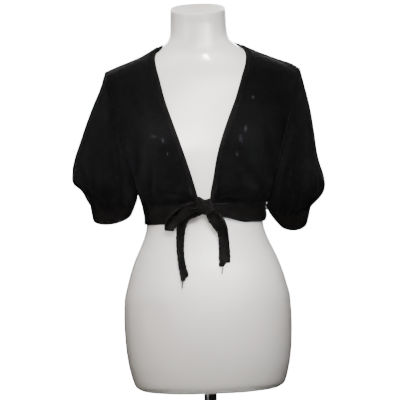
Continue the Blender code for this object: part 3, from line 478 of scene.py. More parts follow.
RING_OUTLINES = {
    # outer x, outer z, inner x, inner z
    RIGHT: metres(
        (191, 802.5, 132, 557.6), (200, 775, 132, 557), (212.6, 747, 132, 556.4),
        (224.6, 719, 132, 555.8), (236.4, 689, 132, 555.1), (246.4, 662, 132, 554.3),
        (256.2, 635, 132.1, 553.3), (261.2, 612, 132.2, 552.1), (262.2, 595, 132.5, 550.7),
        (258, 583.5, 132.9, 549), (247.8, 575, 133.7, 546.9), (238.8, 565.5, 134.7, 544.6),
        (232.8, 553, 135.8, 542.2), (227.5, 539.5, 137, 540),
    ),
    LEFT: metres(
        (201, 799.5, 131.8, 547.3), (207.6, 771.5, 131.1, 545.3), (214, 744, 129.8, 542.8),
        (219.4, 716, 128.8, 540), (223.2, 688, 128, 537), (226.4, 660, 127.5, 534.2),
        (229.6, 632, 127.2, 531.3), (235, 607, 127.1, 528.6), (240.1, 588.5, 127.1, 526),
        (242.2, 569.5, 127.2, 523.6), (238.4, 553.8, 127.5, 521.3), (230.6, 543.2, 127.9, 519),
        (221, 533.8, 128.4, 516.8), (212.4, 524.4, 129.1, 514.7),
    ),
}
SLEEVES = {
    side: [outline + depths for outline, depths in zip(outlines, RING_DEPTHS)]
    for side, outlines in RING_OUTLINES.items()
}
BACK_FOLDS = metres(
    # from x, z, to x, z, half width, rise
    (150, 730, 148, 600, 14, -8), (-150, 730, -147, 590, 14, -9), (50, 650, 105, 560, 12, -5),
    (-55, 640, -105, 565, 12, -5), (200, 630, 190, 550, 11, -5), (-212, 630, -200, 560, 11, -5),
)
BACK_CREASES = metres(
    # small ones, laid over the folds
    (15, 585, 22, 540, 3.5, -1.6), (-30, 578, -26, 540, 3.2, -1.3),
    (62, 580, 60, 540, 3.6, -1.8), (-72, 586, -65, 540, 3.4, -1.6), (98, 605, 86, 542, 4, -2),
    (-98, 598, -90, 542, 3.8, -1.8), (125, 735, 82, 705, 5, -1.6),
    (-128, 725, -90, 690, 5.5, -1.8), (130, 660, 90, 615, 5.5, -2),
    (-132, 645, -100, 600, 5, -1.8), (40, 825, 100, 805, 6, 1), (-45, 825, -105, 802, 6, 1),
)


def form_side(x, z, face):
    """Y of the form's front (-1) or back (1) at a place in the front view, 0 beside it."""
    half_width, front, back = form_section(z)
    share = np.maximum(1 - (np.abs(x) / half_width) ** SECTION_POWER, 0.0)
    depth = front if face < 0 else back
    rise = bust(x, z, half_width) * (share > 0) if face < 0 else 0.0
    return face * (depth * share ** (1 / SECTION_POWER) + rise)


def hanging(x, z, face):
    """Y of free cloth: it falls from every bulge above it, a little inwards."""
    deepest = np.zeros(np.broadcast(x, z).shape)
    for drop in np.linspace(0.0, 0.20, 15):
        height = np.minimum(z + drop, NECK_BACK_HEIGHT)
        deepest = np.maximum(deepest, np.abs(form_side(x, height, face)) - 0.30 * drop)
    return face * deepest


def over_shoulder(x, z, face):
    """Y of cloth that turns over the top of the shoulder, 0 beyond its turn."""
    half_width, front, back = form_section(z)
    depth = (front if face < 0 else back) + EASE + KNIT
    share = 1 - (np.abs(x) / (half_width + SHOULDER_EASE)) ** SECTION_POWER
    return face * depth * np.maximum(share, 0.0) ** (1 / SECTION_POWER)


def folds(x, z, table):
    """Sum of a table's soft troughs and ridges at places in the front view."""
    rise = np.zeros(np.shape(x))
    for x0, z0, x1, z1, half_width, height in table:
        run = (x1 - x0, z1 - z0)
        t = ((x - x0) * run[0] + (z - z0) * run[1]) / (run[0] ** 2 + run[1] ** 2)
        t = np.clip(t, 0.0, 1.0)
        away2 = (x - x0 - t * run[0]) ** 2 + (z - z0 - t * run[1]) ** 2
        ends = 0.35 + 0.65 * np.sin(math.pi * np.clip(t, 0.08, 0.92))
        rise = rise + height * ends * np.exp(-away2 / (2 * half_width**2))
    return rise


def ring_point(row, side, angle, gather=0.0):
    """Points of a sleeve's ring: angle 0 is its outer fold, 90 degrees its front."""
    outer_x, outer_z, inner_x, inner_z, front, back, drop = row
    across, along = np.cos(angle), np.sin(angle)
    depth = np.where(along > 0, front, back) + gather
    x = (outer_x + inner_x) / 2 + ((outer_x - inner_x) / 2 + gather) * across
    z = (outer_z + inner_z) / 2 + (outer_z - inner_z) / 2 * across - drop * along
    return np.stack((side * x, -depth * along, z), axis=-1)


def armhole_point(side, angle):
    """The armhole seam, just inside the sleeve's first ring."""
    outer_x, outer_z, inner_x, inner_z, front, back, drop = SLEEVES[side][0]
    seam = (outer_x - 0.0006, outer_z, inner_x - 0.0012, inner_z + 0.0008, front, back, drop)
    return ring_point(seam, side, angle)


def top_edge(side):
    """Shoulder seam from the armhole to the neck band."""
    tip = armhole_point(side, np.array(0.0))
    neck = neck_back_point(np.array(0.0), NECK_BAND_WIDTH) * (side, 1, 1)
    outer, inner = abs(tip[0]), abs(neck[0])
    away = outer + (inner - outer) * np.linspace(0.0, 1.0, PANEL_COLUMNS + 1)
    height = smooth_through(
        column(SHOULDER_LINE, 0), column(SHOULDER_LINE, 1 if side == RIGHT else 2), away
    )
    edge = np.stack((side * away, np.full_like(away, 0.002), height), axis=1)
    edge[0], edge[-1] = tip, neck
    return edge


def neck_back_point(angle, inset):
    """Neck opening behind: angle 0 is on the shoulder, 90 degrees the middle."""
    rise = NECK_BACK_HEIGHT - NECK_SHOULDER_HEIGHT
    z = NECK_SHOULDER_HEIGHT + rise * np.abs(np.sin(angle)) ** 0.8 - 0.72 * inset
    return form_point(-angle, z, EASE + KNIT)


def panel_side(side, face):
    """Armhole and side seam of a panel, top to bottom; face -1 is the front."""
    turn = math.pi if face < 0 else -math.pi
    armhole = armhole_point(side, turn * np.arange(ARMHOLE_ROWS + 1) / ARMHOLE_ROWS)
    z = armhole[-1, 2] + (BAND_TOP - armhole[-1, 2]) * np.arange(1, SIDE_ROWS + 1) / SIDE_ROWS
    half_width, _, _ = form_section(z)
    seam = np.stack((side * (half_width + EASE + KNIT), np.zeros_like(z), z), axis=1)
    return np.concatenate((armhole, seam))


def patch(left, right, top, bottom):
    """Coons patch in the front view, with each row's depth carried straight across it."""
    v = np.linspace(0.0, 1.0, len(left))[:, None, None]
    u = np.linspace(0.0, 1.0, len(top))[None, :, None]
    sides = (1 - u) * left[:, None] + u * right[:, None]
    ends = (1 - v) * top[None] + v * bottom[None]
    corners = (1 - v) * ((1 - u) * left[0] + u * right[0])
    corners = corners + v * ((1 - u) * left[-1] + u * right[-1])
    grid = sides + ends - corners
    grid[..., 1] = sides[..., 1]
    grid[0], grid[-1] = top, bottom
    return grid


def drape(grid, face, table):
    """Lays a patch over the form and hangs it; its four edges stay where they are."""
    x, y, z = (grid[1:-1, 1:-1, k] for k in range(3))
    tight = np.abs(form_side(x, z, face)) + EASE + KNIT
    tight = np.maximum(tight, np.abs(over_shoulder(x, z, face)))
    hung = np.abs(hanging(x, z, face)) + EASE + KNIT
    blouse = BLOUSE * np.exp(-(((z - BAND_TOP - BLOUSE_RISE) / 0.016) ** 2))
    depth = tight + (hung + blouse - tight) * ease((z - BAND_TOP) / 0.030)
    h = np.clip(0.5 + 0.5 * (depth - np.abs(y)) / 0.006, 0.0, 1.0)
    depth = np.abs(y) + (depth - np.abs(y)) * h + 0.006 * h * (1 - h)
    grid[1:-1, 1:-1, 1] = face * np.maximum(depth + folds(x, z, table), tight)
    return grid


def clear_of_form(grid, gap, passes=3):
    """Moves points out until each is `gap` off the form."""
    flat = grid.reshape(-1, 3)
    for _ in range(passes):
        for k, point in enumerate(flat):
            near, normal, _, _ = FORM_TREE.find_nearest(Vector(point))
            lack = gap - (Vector(point) - near).dot(normal)
            if lack > 0:
                flat[k] += np.array(normal) * lack
    return grid


def normals_of(grid, closed=False):
    """Outward unit normals of a grid whose rows run down and columns round."""
    if closed:
        wrapped = np.concatenate((grid[:, -2:-1], grid, grid[:, 1:2]), axis=1)
        across = wrapped[:, 2:] - wrapped[:, :-2]
    else:
        across = np.gradient(grid, axis=1)
    return unit(np.cross(across, np.gradient(grid, axis=0)))


def smoothed(values, closed=False, passes=2):
    """A grid of vectors averaged with its neighbours."""
    for _ in range(passes):
        if closed:
            sides = np.concatenate((values[:, -2:-1], values, values[:, 1:2]), axis=1)
        else:
            sides = np.concatenate((values[:, :1], values, values[:, -1:]), axis=1)
        values = (sides[:, :-2] + 2 * values + sides[:, 2:]) / 4
        ends = np.concatenate((values[:1], values, values[-1:]), axis=0)
        values = (ends[:-2] + 2 * values + ends[2:]) / 4
    return values


def creased(grid, way, table, closed=False, edge=4.0):
    """Small creases pushed along the normals, fading out towards the seams."""
    normals = way * normals_of(grid, closed)
    rows = np.arange(len(grid))[:, None]
    fade = ease(rows / edge) * ease((len(grid) - 1 - rows) / edge)
    if not closed:
        columns = np.arange(grid.shape[1])[None, :]
        fade = fade * ease(columns / edge) * ease((grid.shape[1] - 1 - columns) / edge)
    return grid + normals * (folds(grid[..., 0], grid[..., 2], table) * fade)[..., None]


def pull_back(grid, sides, gap):
    """Moves the named edges of a grid in by half the gap of their seam."""
    moves = {
        "top": (grid[0], grid[1]),
        "bottom": (grid[-1], grid[-2]),
        "first": (grid[:, 0], grid[:, 1]),
        "last": (grid[:, -1], grid[:, -2]),
    }
    for side in sides:
        edge, inner = moves[side]
        edge += gap / 2 * unit(inner - edge)


def run_lengths(points, axis=0):
    """How far each point lies along its row or column."""
    steps = np.linalg.norm(np.diff(points, axis=axis), axis=-1)
    return np.insert(np.cumsum(steps, axis=axis), 0, 0.0, axis=axis)


def wall(name, grid, way, thickness, material, closed=False, round_rows=5):
    """A cloth wall under its outer face `grid`, with rounded top and bottom edges."""
    normals = unit(smoothed(way * normals_of(grid, closed), closed))
    radius, layers = thickness / 2, []
    across, down = run_lengths(grid, 1), run_lengths(grid)
    across -= across[:, [across.shape[1] // 2]]

    def end_arc(row, inner):
        away = unit(grid[row] - grid[inner])
        middle = grid[row] - away * radius - normals[row] * radius
        for turn in np.linspace(0.0, math.pi, round_rows + 2):
            point = middle + normals[row] * radius * math.cos(turn) + away * radius * math.sin(turn)
            layers.append((point, across[row], down[row]))

    for i in range(1, len(grid) - 1):
        layers.append((grid[i], across[i], down[i]))
    end_arc(-1, -2)
    for i in range(len(grid) - 2, 0, -1):
        layers.append((grid[i] - normals[i] * thickness, across[i], down[i]))
    start = len(layers)
    end_arc(0, 1)
    layers[start:] = layers[start:][::-1]
    rows, columns = len(layers), grid.shape[1]
    count = columns - 1 if closed else columns
    vertices = np.concatenate([points[:count] for points, _, _ in layers])
    us = np.stack([u for _, u, _ in layers])
    vs = np.stack([v for _, _, v in layers])
    faces, corner_uvs = [], []
    for i in range(rows):
        m = (i + 1) % rows
        for j in range(columns - 1):
            k = j + 1
            corners = ((i, j), (m, j), (m, k), (i, k))
            faces.append(tuple(a * count + b % count for a, b in corners))
            corner_uvs += [(us[a, b], vs[a, b]) for a, b in corners]
    if not closed:
        for j in (0, columns - 1):
            faces.append(tuple(i * count + j for i in range(rows)))
            corner_uvs += [(us[i, j], vs[i, j]) for i in range(rows)]
    thing = new_object(name, vertices, faces, material, corner_uvs)
    middle = thing.data.polygons[(len(grid) // 2 - 1) * (columns - 1) + columns // 2]
    if normals[len(grid) // 2, columns // 2] @ np.array(middle.normal) < 0:
        thing.data.flip_normals()
    return thing


THIN_PALER = (12.0, 13.5, 15.0)  # how much paler the knit is where it is stretched thin


def knit_material(name, dark, light, wale, course, relief, sheen, specks=()):
    """Plain knit: columns of V stitches, `wale` wide and `course` high, down the UV's V.

    `specks` are places in front where the stretched knit is thin and shows paler.
    """
    made, tree, shader = new_material(
        name,
        {"Roughness": 0.95, "Specular IOR Level": 0.05, "Sheen Weight": sheen,
         "Sheen Roughness": 0.45, "Sheen Tint": (0.75, 0.75, 0.80, 1.0)},
    )

    def maths(operation, first, second=0.0):
        return result(tree, "ShaderNodeMath", {0: first, 1: second}, operation=operation)

    uv = add_node(tree, "ShaderNodeSeparateXYZ", {0: result(tree, "ShaderNodeUVMap")})
    from_middle = maths("ABSOLUTE", maths("SUBTRACT", maths(
        "FRACT", maths("DIVIDE", uv.outputs[0], wale)), 0.5))
    slanted = maths("SUBTRACT", maths("DIVIDE", uv.outputs[1], course), maths(
        "MULTIPLY", from_middle, 1.3))
    along = maths("SINE", maths("MULTIPLY", maths("FRACT", slanted), math.pi))
    leg = maths("SUBTRACT", maths("MULTIPLY", from_middle, 4.0), 1.0)
    stitch = maths("MULTIPLY", maths("SUBTRACT", 1.0, maths("MULTIPLY", leg, leg)), along)
    place = object_place(tree)
    worn = ramp(tree, noise(tree, place, 26.0, 5.0), 0.35, 0.7, 0.0, 1.0)
    shade = mix(tree, worn, dark, light)
    streaks = {"Vector": place, "Rotation": (0.0, 0.35, 0.0), "Scale": (1.0, 0.3, 0.28)}
    streaks = result(tree, "ShaderNodeMapping", streaks)
    streaks = ramp(tree, noise(tree, streaks, 420.0, 2.0), 0.40, 0.58, 0.0, 1.0)
    depth = result(tree, "ShaderNodeSeparateXYZ", {0: place}, 1)  # only in front
    streaks = maths("MULTIPLY", streaks, ramp(tree, depth, -0.03, -0.01, 1.0, 0.0))
    for x, z, wide, high in specks:
        away = {"Location": (-x / wide, 0.0, -z / high), "Scale": (1 / wide, 8.0, 1 / high)}
        away = result(tree, "ShaderNodeMapping", {"Vector": place, **away})
        far = result(tree, "ShaderNodeVectorMath", {0: away}, "Value", operation="LENGTH")
        shown = maths("MULTIPLY", ramp(tree, far, 1.35, 0.85, 0.0, 1.0), streaks)
        shade = mix(tree, shown, shade, tuple(k * value for k, value in zip(THIN_PALER, light)))
    # Painted shade: the grooves between the stitches are darkened to 0.45 of the dark yarn tone,
    # while the raised stitches keep the yarn's own colour.
    groove_painted_shade = tuple(0.45 * value for value in dark)
    lit = ramp(tree, stitch, 0.0, 0.6, 0.0, 1.0)
    tree.links.new(mix(tree, lit, groove_painted_shade, shade), shader.inputs["Base Color"])
    fuzz = ramp(tree, noise(tree, place, 300.0), 0.3, 0.7, 0.88, 0.98)
    tree.links.new(fuzz, shader.inputs["Roughness"])
    fluff = maths("MULTIPLY", noise(tree, place, 900.0, 2.0), 0.6)
    bump(tree, shader, maths("ADD", stitch, fluff), relief)
    return made


THIN_SPOTS = metres(
    # x, z, half width, half height
    (-94, 669, 10, 4), (-75.5, 660.9, 4, 7), (-67.1, 634.6, 2.6, 5), (84.3, 678.1, 3.6, 10),
    (74.3, 659.3, 6, 11), (65.9, 630.2, 3.4, 8), (101.4, 740.6, 2.8, 4),
)
black_knit = knit_material(
    "black_knit", (0.0024, 0.0023, 0.0026), (0.0035, 0.0034, 0.0038), 0.0021, 0.0016, 0.0004, 0.02,
    THIN_SPOTS,
)
neck = neck_back_point(
    math.pi * np.arange(1, NECK_COLUMNS) / NECK_COLUMNS, NECK_BAND_WIDTH
) * (-1, 1, 1)
shoulders = top_edge(RIGHT), top_edge(LEFT)[::-1]
top = np.concatenate((shoulders[0], neck, shoulders[1]))
bottom = form_point(math.pi * (1 + np.linspace(0.0, 1.0, len(top))), BAND_TOP, EASE + KNIT)
sides = [panel_side(side, 1) for side in (RIGHT, LEFT)]
bottom[0], bottom[-1] = sides[0][-1], sides[1][-1]
back_grid = clear_of_form(drape(patch(*sides, top, bottom), 1, BACK_FOLDS), BAND + REST_GAP)
grid = creased(back_grid, 1, BACK_CREASES)
pull_back(grid, ("top", "bottom", "first", "last"), SEAM_GAP)
back = wall("back_panel", grid, 1, KNIT, black_knit)

# ---- front panels ----
# Two mirrored wrap fronts in the same knit.  They run from the shoulder over the chest
# to a narrow end at the knot, and fall in soft folds towards the tie.

NECK_EDGE = metres(
    # height, distance of the free edge from the middle: wearer's right, wearer's left
    (856, 71.5, 77), (848, 74.2, 83.5), (838, 84.5, 90), (826, 87.1, 91.4), (813, 85.6, 89.8),
    (782, 78.8, 80.5), (741, 69.3, 67.3), (700, 56.3, 50.8), (657, 42.1, 35), (620, 30.6, 24.8),
    (583, 19.9, 17.8), (556, 13, 12), (534.5, 8.2, 9.4),
)
SHOULDER_SLOPE = 0.75
FRONT_REACH = math.radians(83.6)
KNOT_PULL = 0.0100
FRONT_FOLDS = metres(
    # from x, z, to x, z, half width, rise
    (83.3, 599, 130, 533, 7.5, -10), (98, 618, 142, 560, 10, 5), (155, 720, 153, 590, 16, -7),
    (-183, 758, -157, 660, 10, -6), (-158, 670, -154, 550, 11, -9),
    (-196, 605, -193, 555, 10, -5), (198, 590, 183, 535, 9, -4), (-76, 556, -53, 540, 6, -4),
)
FRONT_CREASES = metres(
    (24.7, 540.3, 48, 546.3, 2.6, -2.2), (48, 546.3, 85, 537.3, 2.6, -2.4),
    (85, 537.3, 109.4, 538.4, 2.6, -1.8), (36, 605, 62, 556, 4, -1.8),
    (56, 630, 90, 570, 5, -1.4), (118, 670, 135, 610, 6, -2.2), (-30, 590, -48, 548, 3.8, -1.6),
    (-48, 620, -80, 562, 4.8, -1.4), (-98, 605, -105, 545, 4.2, -2.4),
    (-118, 660, -128, 590, 5.6, -2.2), (-130, 750, -105, 715, 5, -1.4),
    (126, 750, 102, 715, 5, -1.2),
)


def neck_front_point(side, z, inset):
    """Neck opening in front: `inset` is the distance from the free edge."""
    heights, places = column(NECK_EDGE, 0), column(NECK_EDGE, 1 if side == RIGHT else 2)
    x, step = smooth_through(heights, places, z), 0.004
    slope = (
        smooth_through(heights, places, z + step) - smooth_through(heights, places, z - step)
    ) / (2 * step)
    slope = slope + (SHOULDER_SLOPE - slope) * ease((z - 0.822) / 0.026)
    length = np.hypot(1.0, slope)
    x, z = x + inset / length, z - inset * slope / length
    y = np.minimum(hanging(x, z, -1) - EASE - KNIT, over_shoulder(x, z, -1))
    return np.stack((side * x, y, z), axis=-1)


def neck_heights():
    """Height of the neck edge's point on each of a front panel's rows."""
    turn = math.pi * np.arange(ARMHOLE_ROWS + 1) / ARMHOLE_ROWS
    below = np.arange(1, SIDE_ROWS + 1) / SIDE_ROWS
    share = np.concatenate((0.92 * (1 - np.cos(turn)) / 2, 0.92 + 0.08 * below))
    reach = 0.2 * share**0.5 + 0.8 * share**1.5
    return NECK_SHOULDER_HEIGHT + (BAND_TOP - NECK_SHOULDER_HEIGHT) * reach


def hem_point(side, share, z, swell=0.0):
    """Points of the hem band's outer face, from the side seam (0) to the neck edge (1)."""
    reach = FRONT_REACH * share
    angle = reach if side == LEFT else math.pi - reach
    drawn = KNOT_PULL * ease((share - 0.7) / 0.3)
    return form_point(angle, z, EASE + KNIT + drawn + swell)


front_grids, fronts = {}, {}
for side, word in SIDES:
    outer = panel_side(side, -1)
    top = top_edge(side)
    bottom = hem_point(side, np.linspace(0.0, 1.0, PANEL_COLUMNS + 1), BAND_TOP)
    bottom[0] = outer[-1]
    inner = neck_front_point(side, neck_heights(), NECK_BAND_WIDTH)
    inner[0], inner[-1] = top[-1], bottom[-1]
    grid = drape(patch(outer, inner, top, bottom), -1, FRONT_FOLDS)
    front_grids[side] = clear_of_form(grid, BAND + REST_GAP)
    grid = creased(front_grids[side], side, FRONT_CREASES)
    pull_back(grid, ("top", "bottom", "first", "last"), SEAM_GAP)
    fronts[side] = wall("front_panel_" + word, grid, side, KNIT, black_knit)

# ---- sleeves ----
# Two wide short sleeves with no wearer's arm in them.  Each is one knitted piece closed
# by an underarm seam and gathered where it is linked into its cuff.

CUFF_GATHERS, GATHER_DEPTH, GATHER_ROWS = 8, 0.0026, 6
SLEEVE_AROUND, SLEEVE_STEPS = 160, 6
LEAN_FROM, LEAN_FADE = 0.5180, 0.0045
SLEEVE_CREASES = {
    -1: metres(
        (218, 650, 205, 550, 5, -2), (188, 670, 176, 550, 6, -2.2),
        (226, 600, 212, 540, 3.6, -1.8), (168, 610, 158, 530, 4, -1.8),
        (-238, 630, -223, 560, 4, -2.2), (-215, 650, -208, 565, 4.8, -1.8),
        (-178, 680, -173, 570, 5.2, -2.2), (-250, 610, -236, 570, 3, -1.4),
        (-208, 770, -190, 720, 6, -1.6), (205, 765, 188, 710, 6, -1.4),
    ),
    1: metres(
        (215, 640, 202, 550, 4.6, -2), (180, 660, 172, 545, 5.6, -2),
        (-240, 635, -225, 560, 4.4, -2), (-183, 670, -175, 570, 5.2, -2),
        (-205, 750, -185, 700, 6.4, -1.6), (200, 745, 182, 695, 6.4, -1.6),
    ),
}


def ring_rows(table, steps):
    """A table of rings with `steps` rows between each two."""
    keys = np.arange(len(table))
    at = np.linspace(0, len(table) - 1, steps * (len(table) - 1) + 1)
    return at, np.stack([smooth_through(keys, column(table, k), at) for k in range(7)], axis=1)


def leaning(grid, turns, places):
    """The underarm laid against the side of the body, above the gap at the hem."""
    half_width, front, back = form_section(grid[..., 2])
    y = grid[..., 1]
    depth = np.where(y < 0, front, back) + EASE + KNIT
    share = np.maximum(1 - (np.abs(y) / depth) ** SECTION_POWER, 0.0)
    beside = (half_width + EASE + KNIT + 0.0009) * share ** (1 / SECTION_POWER)
    near = np.exp(-(((turns - math.pi) / 0.42) ** 2))[None, :] * ease(places / 1.5)[:, None]
    near = near * ease((grid[..., 2] - LEAN_FROM) / LEAN_FADE)
    grid[..., 0] += near * (beside - grid[..., 0])
    return grid


sleeve_grids, sleeves = {}, {}
for side, word in SIDES:
    places, rows = ring_rows(SLEEVES[side], SLEEVE_STEPS)
    turns = 2 * math.pi * np.arange(SLEEVE_AROUND + 1) / SLEEVE_AROUND
    outer_share = ease((1 + np.cos(turns)) / 0.8)
    rings = []
    for i, row in zip(places, rows):
        above = len(SLEEVES[side]) - 1 - i
        gather = GATHER_DEPTH * ease(above / 1.5) * ease(1 - (above - 1) / GATHER_ROWS)
        fold = ease(i / 3) * ease(above / 2)
        ring = ring_point(row, side, turns, gather * outer_share * np.cos(CUFF_GATHERS * turns))
        along = np.sin(turns)
        for table, facing in ((FRONT_FOLDS, along > 0), (BACK_FOLDS, along <= 0)):
            lift = folds(ring[:, 0], ring[:, 2], table) * fold * np.abs(along) ** 0.5 * facing
            ring[:, 1] -= np.copysign(lift, along)
        rings.append(ring)
    grid = np.array(rings)
    if side == LEFT:
        grid = leaning(grid, turns, places)
    grid[0] = armhole_point(side, turns)
    grid[:, -1] = grid[:, 0]
    grid = clear_of_form(grid, BAND + REST_GAP)
    normals = side * normals_of(grid, True)
    fade = (ease(places / 1.5) * ease((len(SLEEVES[side]) - 1 - places) / 1.0))[:, None]
    small = np.where(
        grid[..., 1] < 0,
        folds(grid[..., 0], grid[..., 2], SLEEVE_CREASES[-1]),
        folds(grid[..., 0], grid[..., 2], SLEEVE_CREASES[1]),
    )
    near_cuff = np.exp(-(len(SLEEVES[side]) - 1 - places) / 1.6)[:, None]
    pleats = 0.0011 * np.sin(23 * turns + 1.3 * np.sin(3 * turns)) + 0.0007 * np.sin(41 * turns)
    small = small * np.abs(np.sin(turns)) ** 0.5 * fade
    small = small + near_cuff * ease((len(SLEEVES[side]) - 1 - places) / 0.6)[:, None] * pleats
    grid = grid + normals * small[..., None]
    grid[:, -1] = grid[:, 0]
    low = ease((-np.cos(turns) - 0.5) / 0.4)
    grid[0, :, 0] += side * 0.0010 * low
    pull_back(grid, ("top",), ARMHOLE_GAP)
    pull_back(grid, ("top", "bottom"), SEAM_GAP)
    sleeve_grids[side] = grid
    sleeves[side] = wall("sleeve_" + word + "_knit", grid, side, KNIT, black_knit, True)

# ---- cuffs ----
# A ribbed band linked to each sleeve's mouth, open for the arm.

CUFFS = {
    # from the sleeve's mouth down, as its rings
    RIGHT: [SLEEVES[RIGHT][-1], *metres(
        (225.6, 525.8, 141.2, 529.3, 45, 47, 12), (222.8, 512, 146.2, 519.5, 44, 46, 14.5),
    )],
    LEFT: [SLEEVES[LEFT][-1], *metres(
        (209, 508.6, 138, 502.6, 45, 47, 12), (204.4, 493.2, 149, 490.5, 44, 46, 14.5),
    )],
}
RIB_PITCH, RIB_DEPTH = 0.0030, 0.00045


def ribbed(grid, way, closed=False, columns=None):
    """The grid resampled evenly along its rows and raised into ribs that run down it."""
    lengths = run_lengths(grid[len(grid) // 2])
    ribs = round(lengths[-1] / RIB_PITCH)
    columns = ribs * 5
    at = np.linspace(0.0, lengths[-1], columns + 1)
    fine = np.stack(
        [np.stack([np.interp(at, lengths, row[:, k]) for k in range(3)], axis=1) for row in grid]
    )
    wave = np.cos(2 * math.pi * ribs * at / lengths[-1])
    rows = np.arange(len(grid))[:, None]
    fade = ease((rows + 0.5) / 1.5) * ease((len(grid) - 0.5 - rows) / 1.5)
    return fine + way * normals_of(fine, closed) * (RIB_DEPTH * wave * fade)[..., None]


black_rib = knit_material(
    "black_rib", (0.0036, 0.0031, 0.0030), (0.0052, 0.0045, 0.0043), 0.0015, 0.0015, 0.0003, 0.02
)
ties_rib = knit_material(
    "ties_rib", (0.0052, 0.0047, 0.0045), (0.0075, 0.0068, 0.0066), 0.0015, 0.0015, 0.0003, 0.02
)
cuffs = {}
for side, word in SIDES:
    _, rows = ring_rows(CUFFS[side], 5)
    turns = 2 * math.pi * np.arange(SLEEVE_AROUND + 1) / SLEEVE_AROUND
    grid = np.array([ring_point(row, side, turns) for row in rows])
    pull_back(grid, ("top",), SEAM_GAP)
    grid = ribbed(grid, side, True)
    grid[:, -1] = grid[:, 0]
    cuffs[side] = wall("cuff_" + word + "_rib", grid, side, BAND, black_rib, True)

# ---- hem band ----
# A ribbed band round the waist.  Its two ends are drawn together, narrow and gather
# into pleats as they run into the knot.

BAND_SWELL, KNOT_LIFT, KNOT_REACH, BAND_ROWS = 0.0030, 0.013, 0.0105, 12
KNOT_CENTRE = (0.0008, -0.1060, 0.5300)
BULGE, BULGE_TOP, BULGE_HEIGHT = 0.0042, 0.5235, 0.0245  # at the wearer's left


def knot_end(edge, side):
    """The end of the hem band, narrowed and drawn forward to the knot's side."""
    reach = (np.arange(1, 13) / 12)[None, :]
    x = edge[:, :1] + (KNOT_CENTRE[0] + side * KNOT_REACH - edge[:, :1]) * reach
    y = edge[:, 1:2] + (KNOT_CENTRE[1] - BAND / 2 - edge[:, 1:2]) * ease(reach)
    z = KNOT_CENTRE[2] + (edge[:, 2:] - KNOT_CENTRE[2]) * (1 - 0.25 * reach)
    end = np.stack((x, y, z), axis=2)
    return end[:, ::-1] if side == RIGHT else end


share = np.linspace(0.0, 1.0, PANEL_COLUMNS + 1)
behind = back_grid.shape[1]
turns = math.pi * (1 + np.arange(1, behind - 1) / (behind - 1))
rows = [np.concatenate((front_grids[RIGHT][-1, ::-1], back_grid[-1, 1:-1], front_grids[LEFT][-1]))]
for k in range(1, BAND_ROWS + 1):
    down = k / BAND_ROWS
    pieces = []
    for side, order in ((RIGHT, share[::-1]), (LEFT, share)):
        foot = HEM + KNOT_LIFT * ease((order - 0.6) / 0.4)
        swell = BAND_SWELL * math.sin(math.pi * down) * ease(order / 0.5)
        pieces.append(hem_point(side, order, BAND_TOP + (foot - BAND_TOP) * down, swell))
    middle = form_point(turns, BAND_TOP + (HEM - BAND_TOP) * down, EASE + KNIT)
    rows.append(np.concatenate((pieces[0], middle, pieces[1])))
grid = np.stack(rows)
grid = np.concatenate((knot_end(grid[:, 0], RIGHT), grid, knot_end(grid[:, -1], LEFT)), axis=1)
beside = np.exp(-((grid[..., 1] / 0.035) ** 2)) * (grid[..., 0] > 0.09)
down = np.clip((BULGE_TOP - grid[..., 2]) / BULGE_HEIGHT, 0.0, 1.0)
grid[..., 0] += BULGE * beside * np.sin(math.pi * down)
hem_grid = clear_of_form(grid, BAND + REST_GAP)
grid = ribbed(hem_grid, 1)
from_knot = np.abs(grid[..., 0] - KNOT_CENTRE[0]) - KNOT_REACH
in_front = grid[..., 1] < 0
level = np.linspace(0.0, 1.0, len(grid))[:, None]
pleat = 0.0013 * np.cos(2 * math.pi * 2.4 * level + 0.6) * np.exp(-((from_knot / 0.020) ** 2))
grid = grid + normals_of(grid) * (pleat * in_front)[..., None]
pull_back(grid, ("top",), SEAM_GAP)
hem = wall("hem_rib", grid, 1, BAND, black_rib)

# ---- neck band ----
# A narrow rib band linked round the whole opening, from the knot up over the shoulders.
# It rolls softly, so its middle stands a little proud of its seam.

NECK_BAND_STEPS = 8
behind = neck_back_point(math.pi * np.arange(1, NECK_COLUMNS) / NECK_COLUMNS, 0.0) * (-1, 1, 1)
edges, seams = [], []
for side in (RIGHT, LEFT):
    edge = neck_front_point(side, neck_heights(), 0.0)
    edge[0] = neck_back_point(np.array(0.0), 0.0) * (side, 1, 1)
    edges.append(edge)
    seams.append(front_grids[side][:, -1])
under = back_grid[0, PANEL_COLUMNS + 1 : -PANEL_COLUMNS - 1]
free = np.concatenate((edges[0][::-1], behind, edges[1]))
seam = np.concatenate((seams[0][::-1], under, seams[1]))
grid = np.stack([free + (seam - free) * k / NECK_BAND_STEPS for k in range(NECK_BAND_STEPS + 1)])
neck_grid = clear_of_form(grid, BAND + REST_GAP)
level = np.linspace(0.0, 1.0, len(grid))[:, None, None]
grid = neck_grid + normals_of(neck_grid) * 0.0009 * np.sin(math.pi * level)
pull_back(grid, ("bottom", "first", "last"), 2 * SEAM_GAP)
neck_band = wall("neck_rib", grid, 1, BAND, ties_rib)

# ---- linked seams ----
# Every edge is linked to the next with loops of the same yarn.  The row of loops lies in
# the groove between the two edges and draws them together.

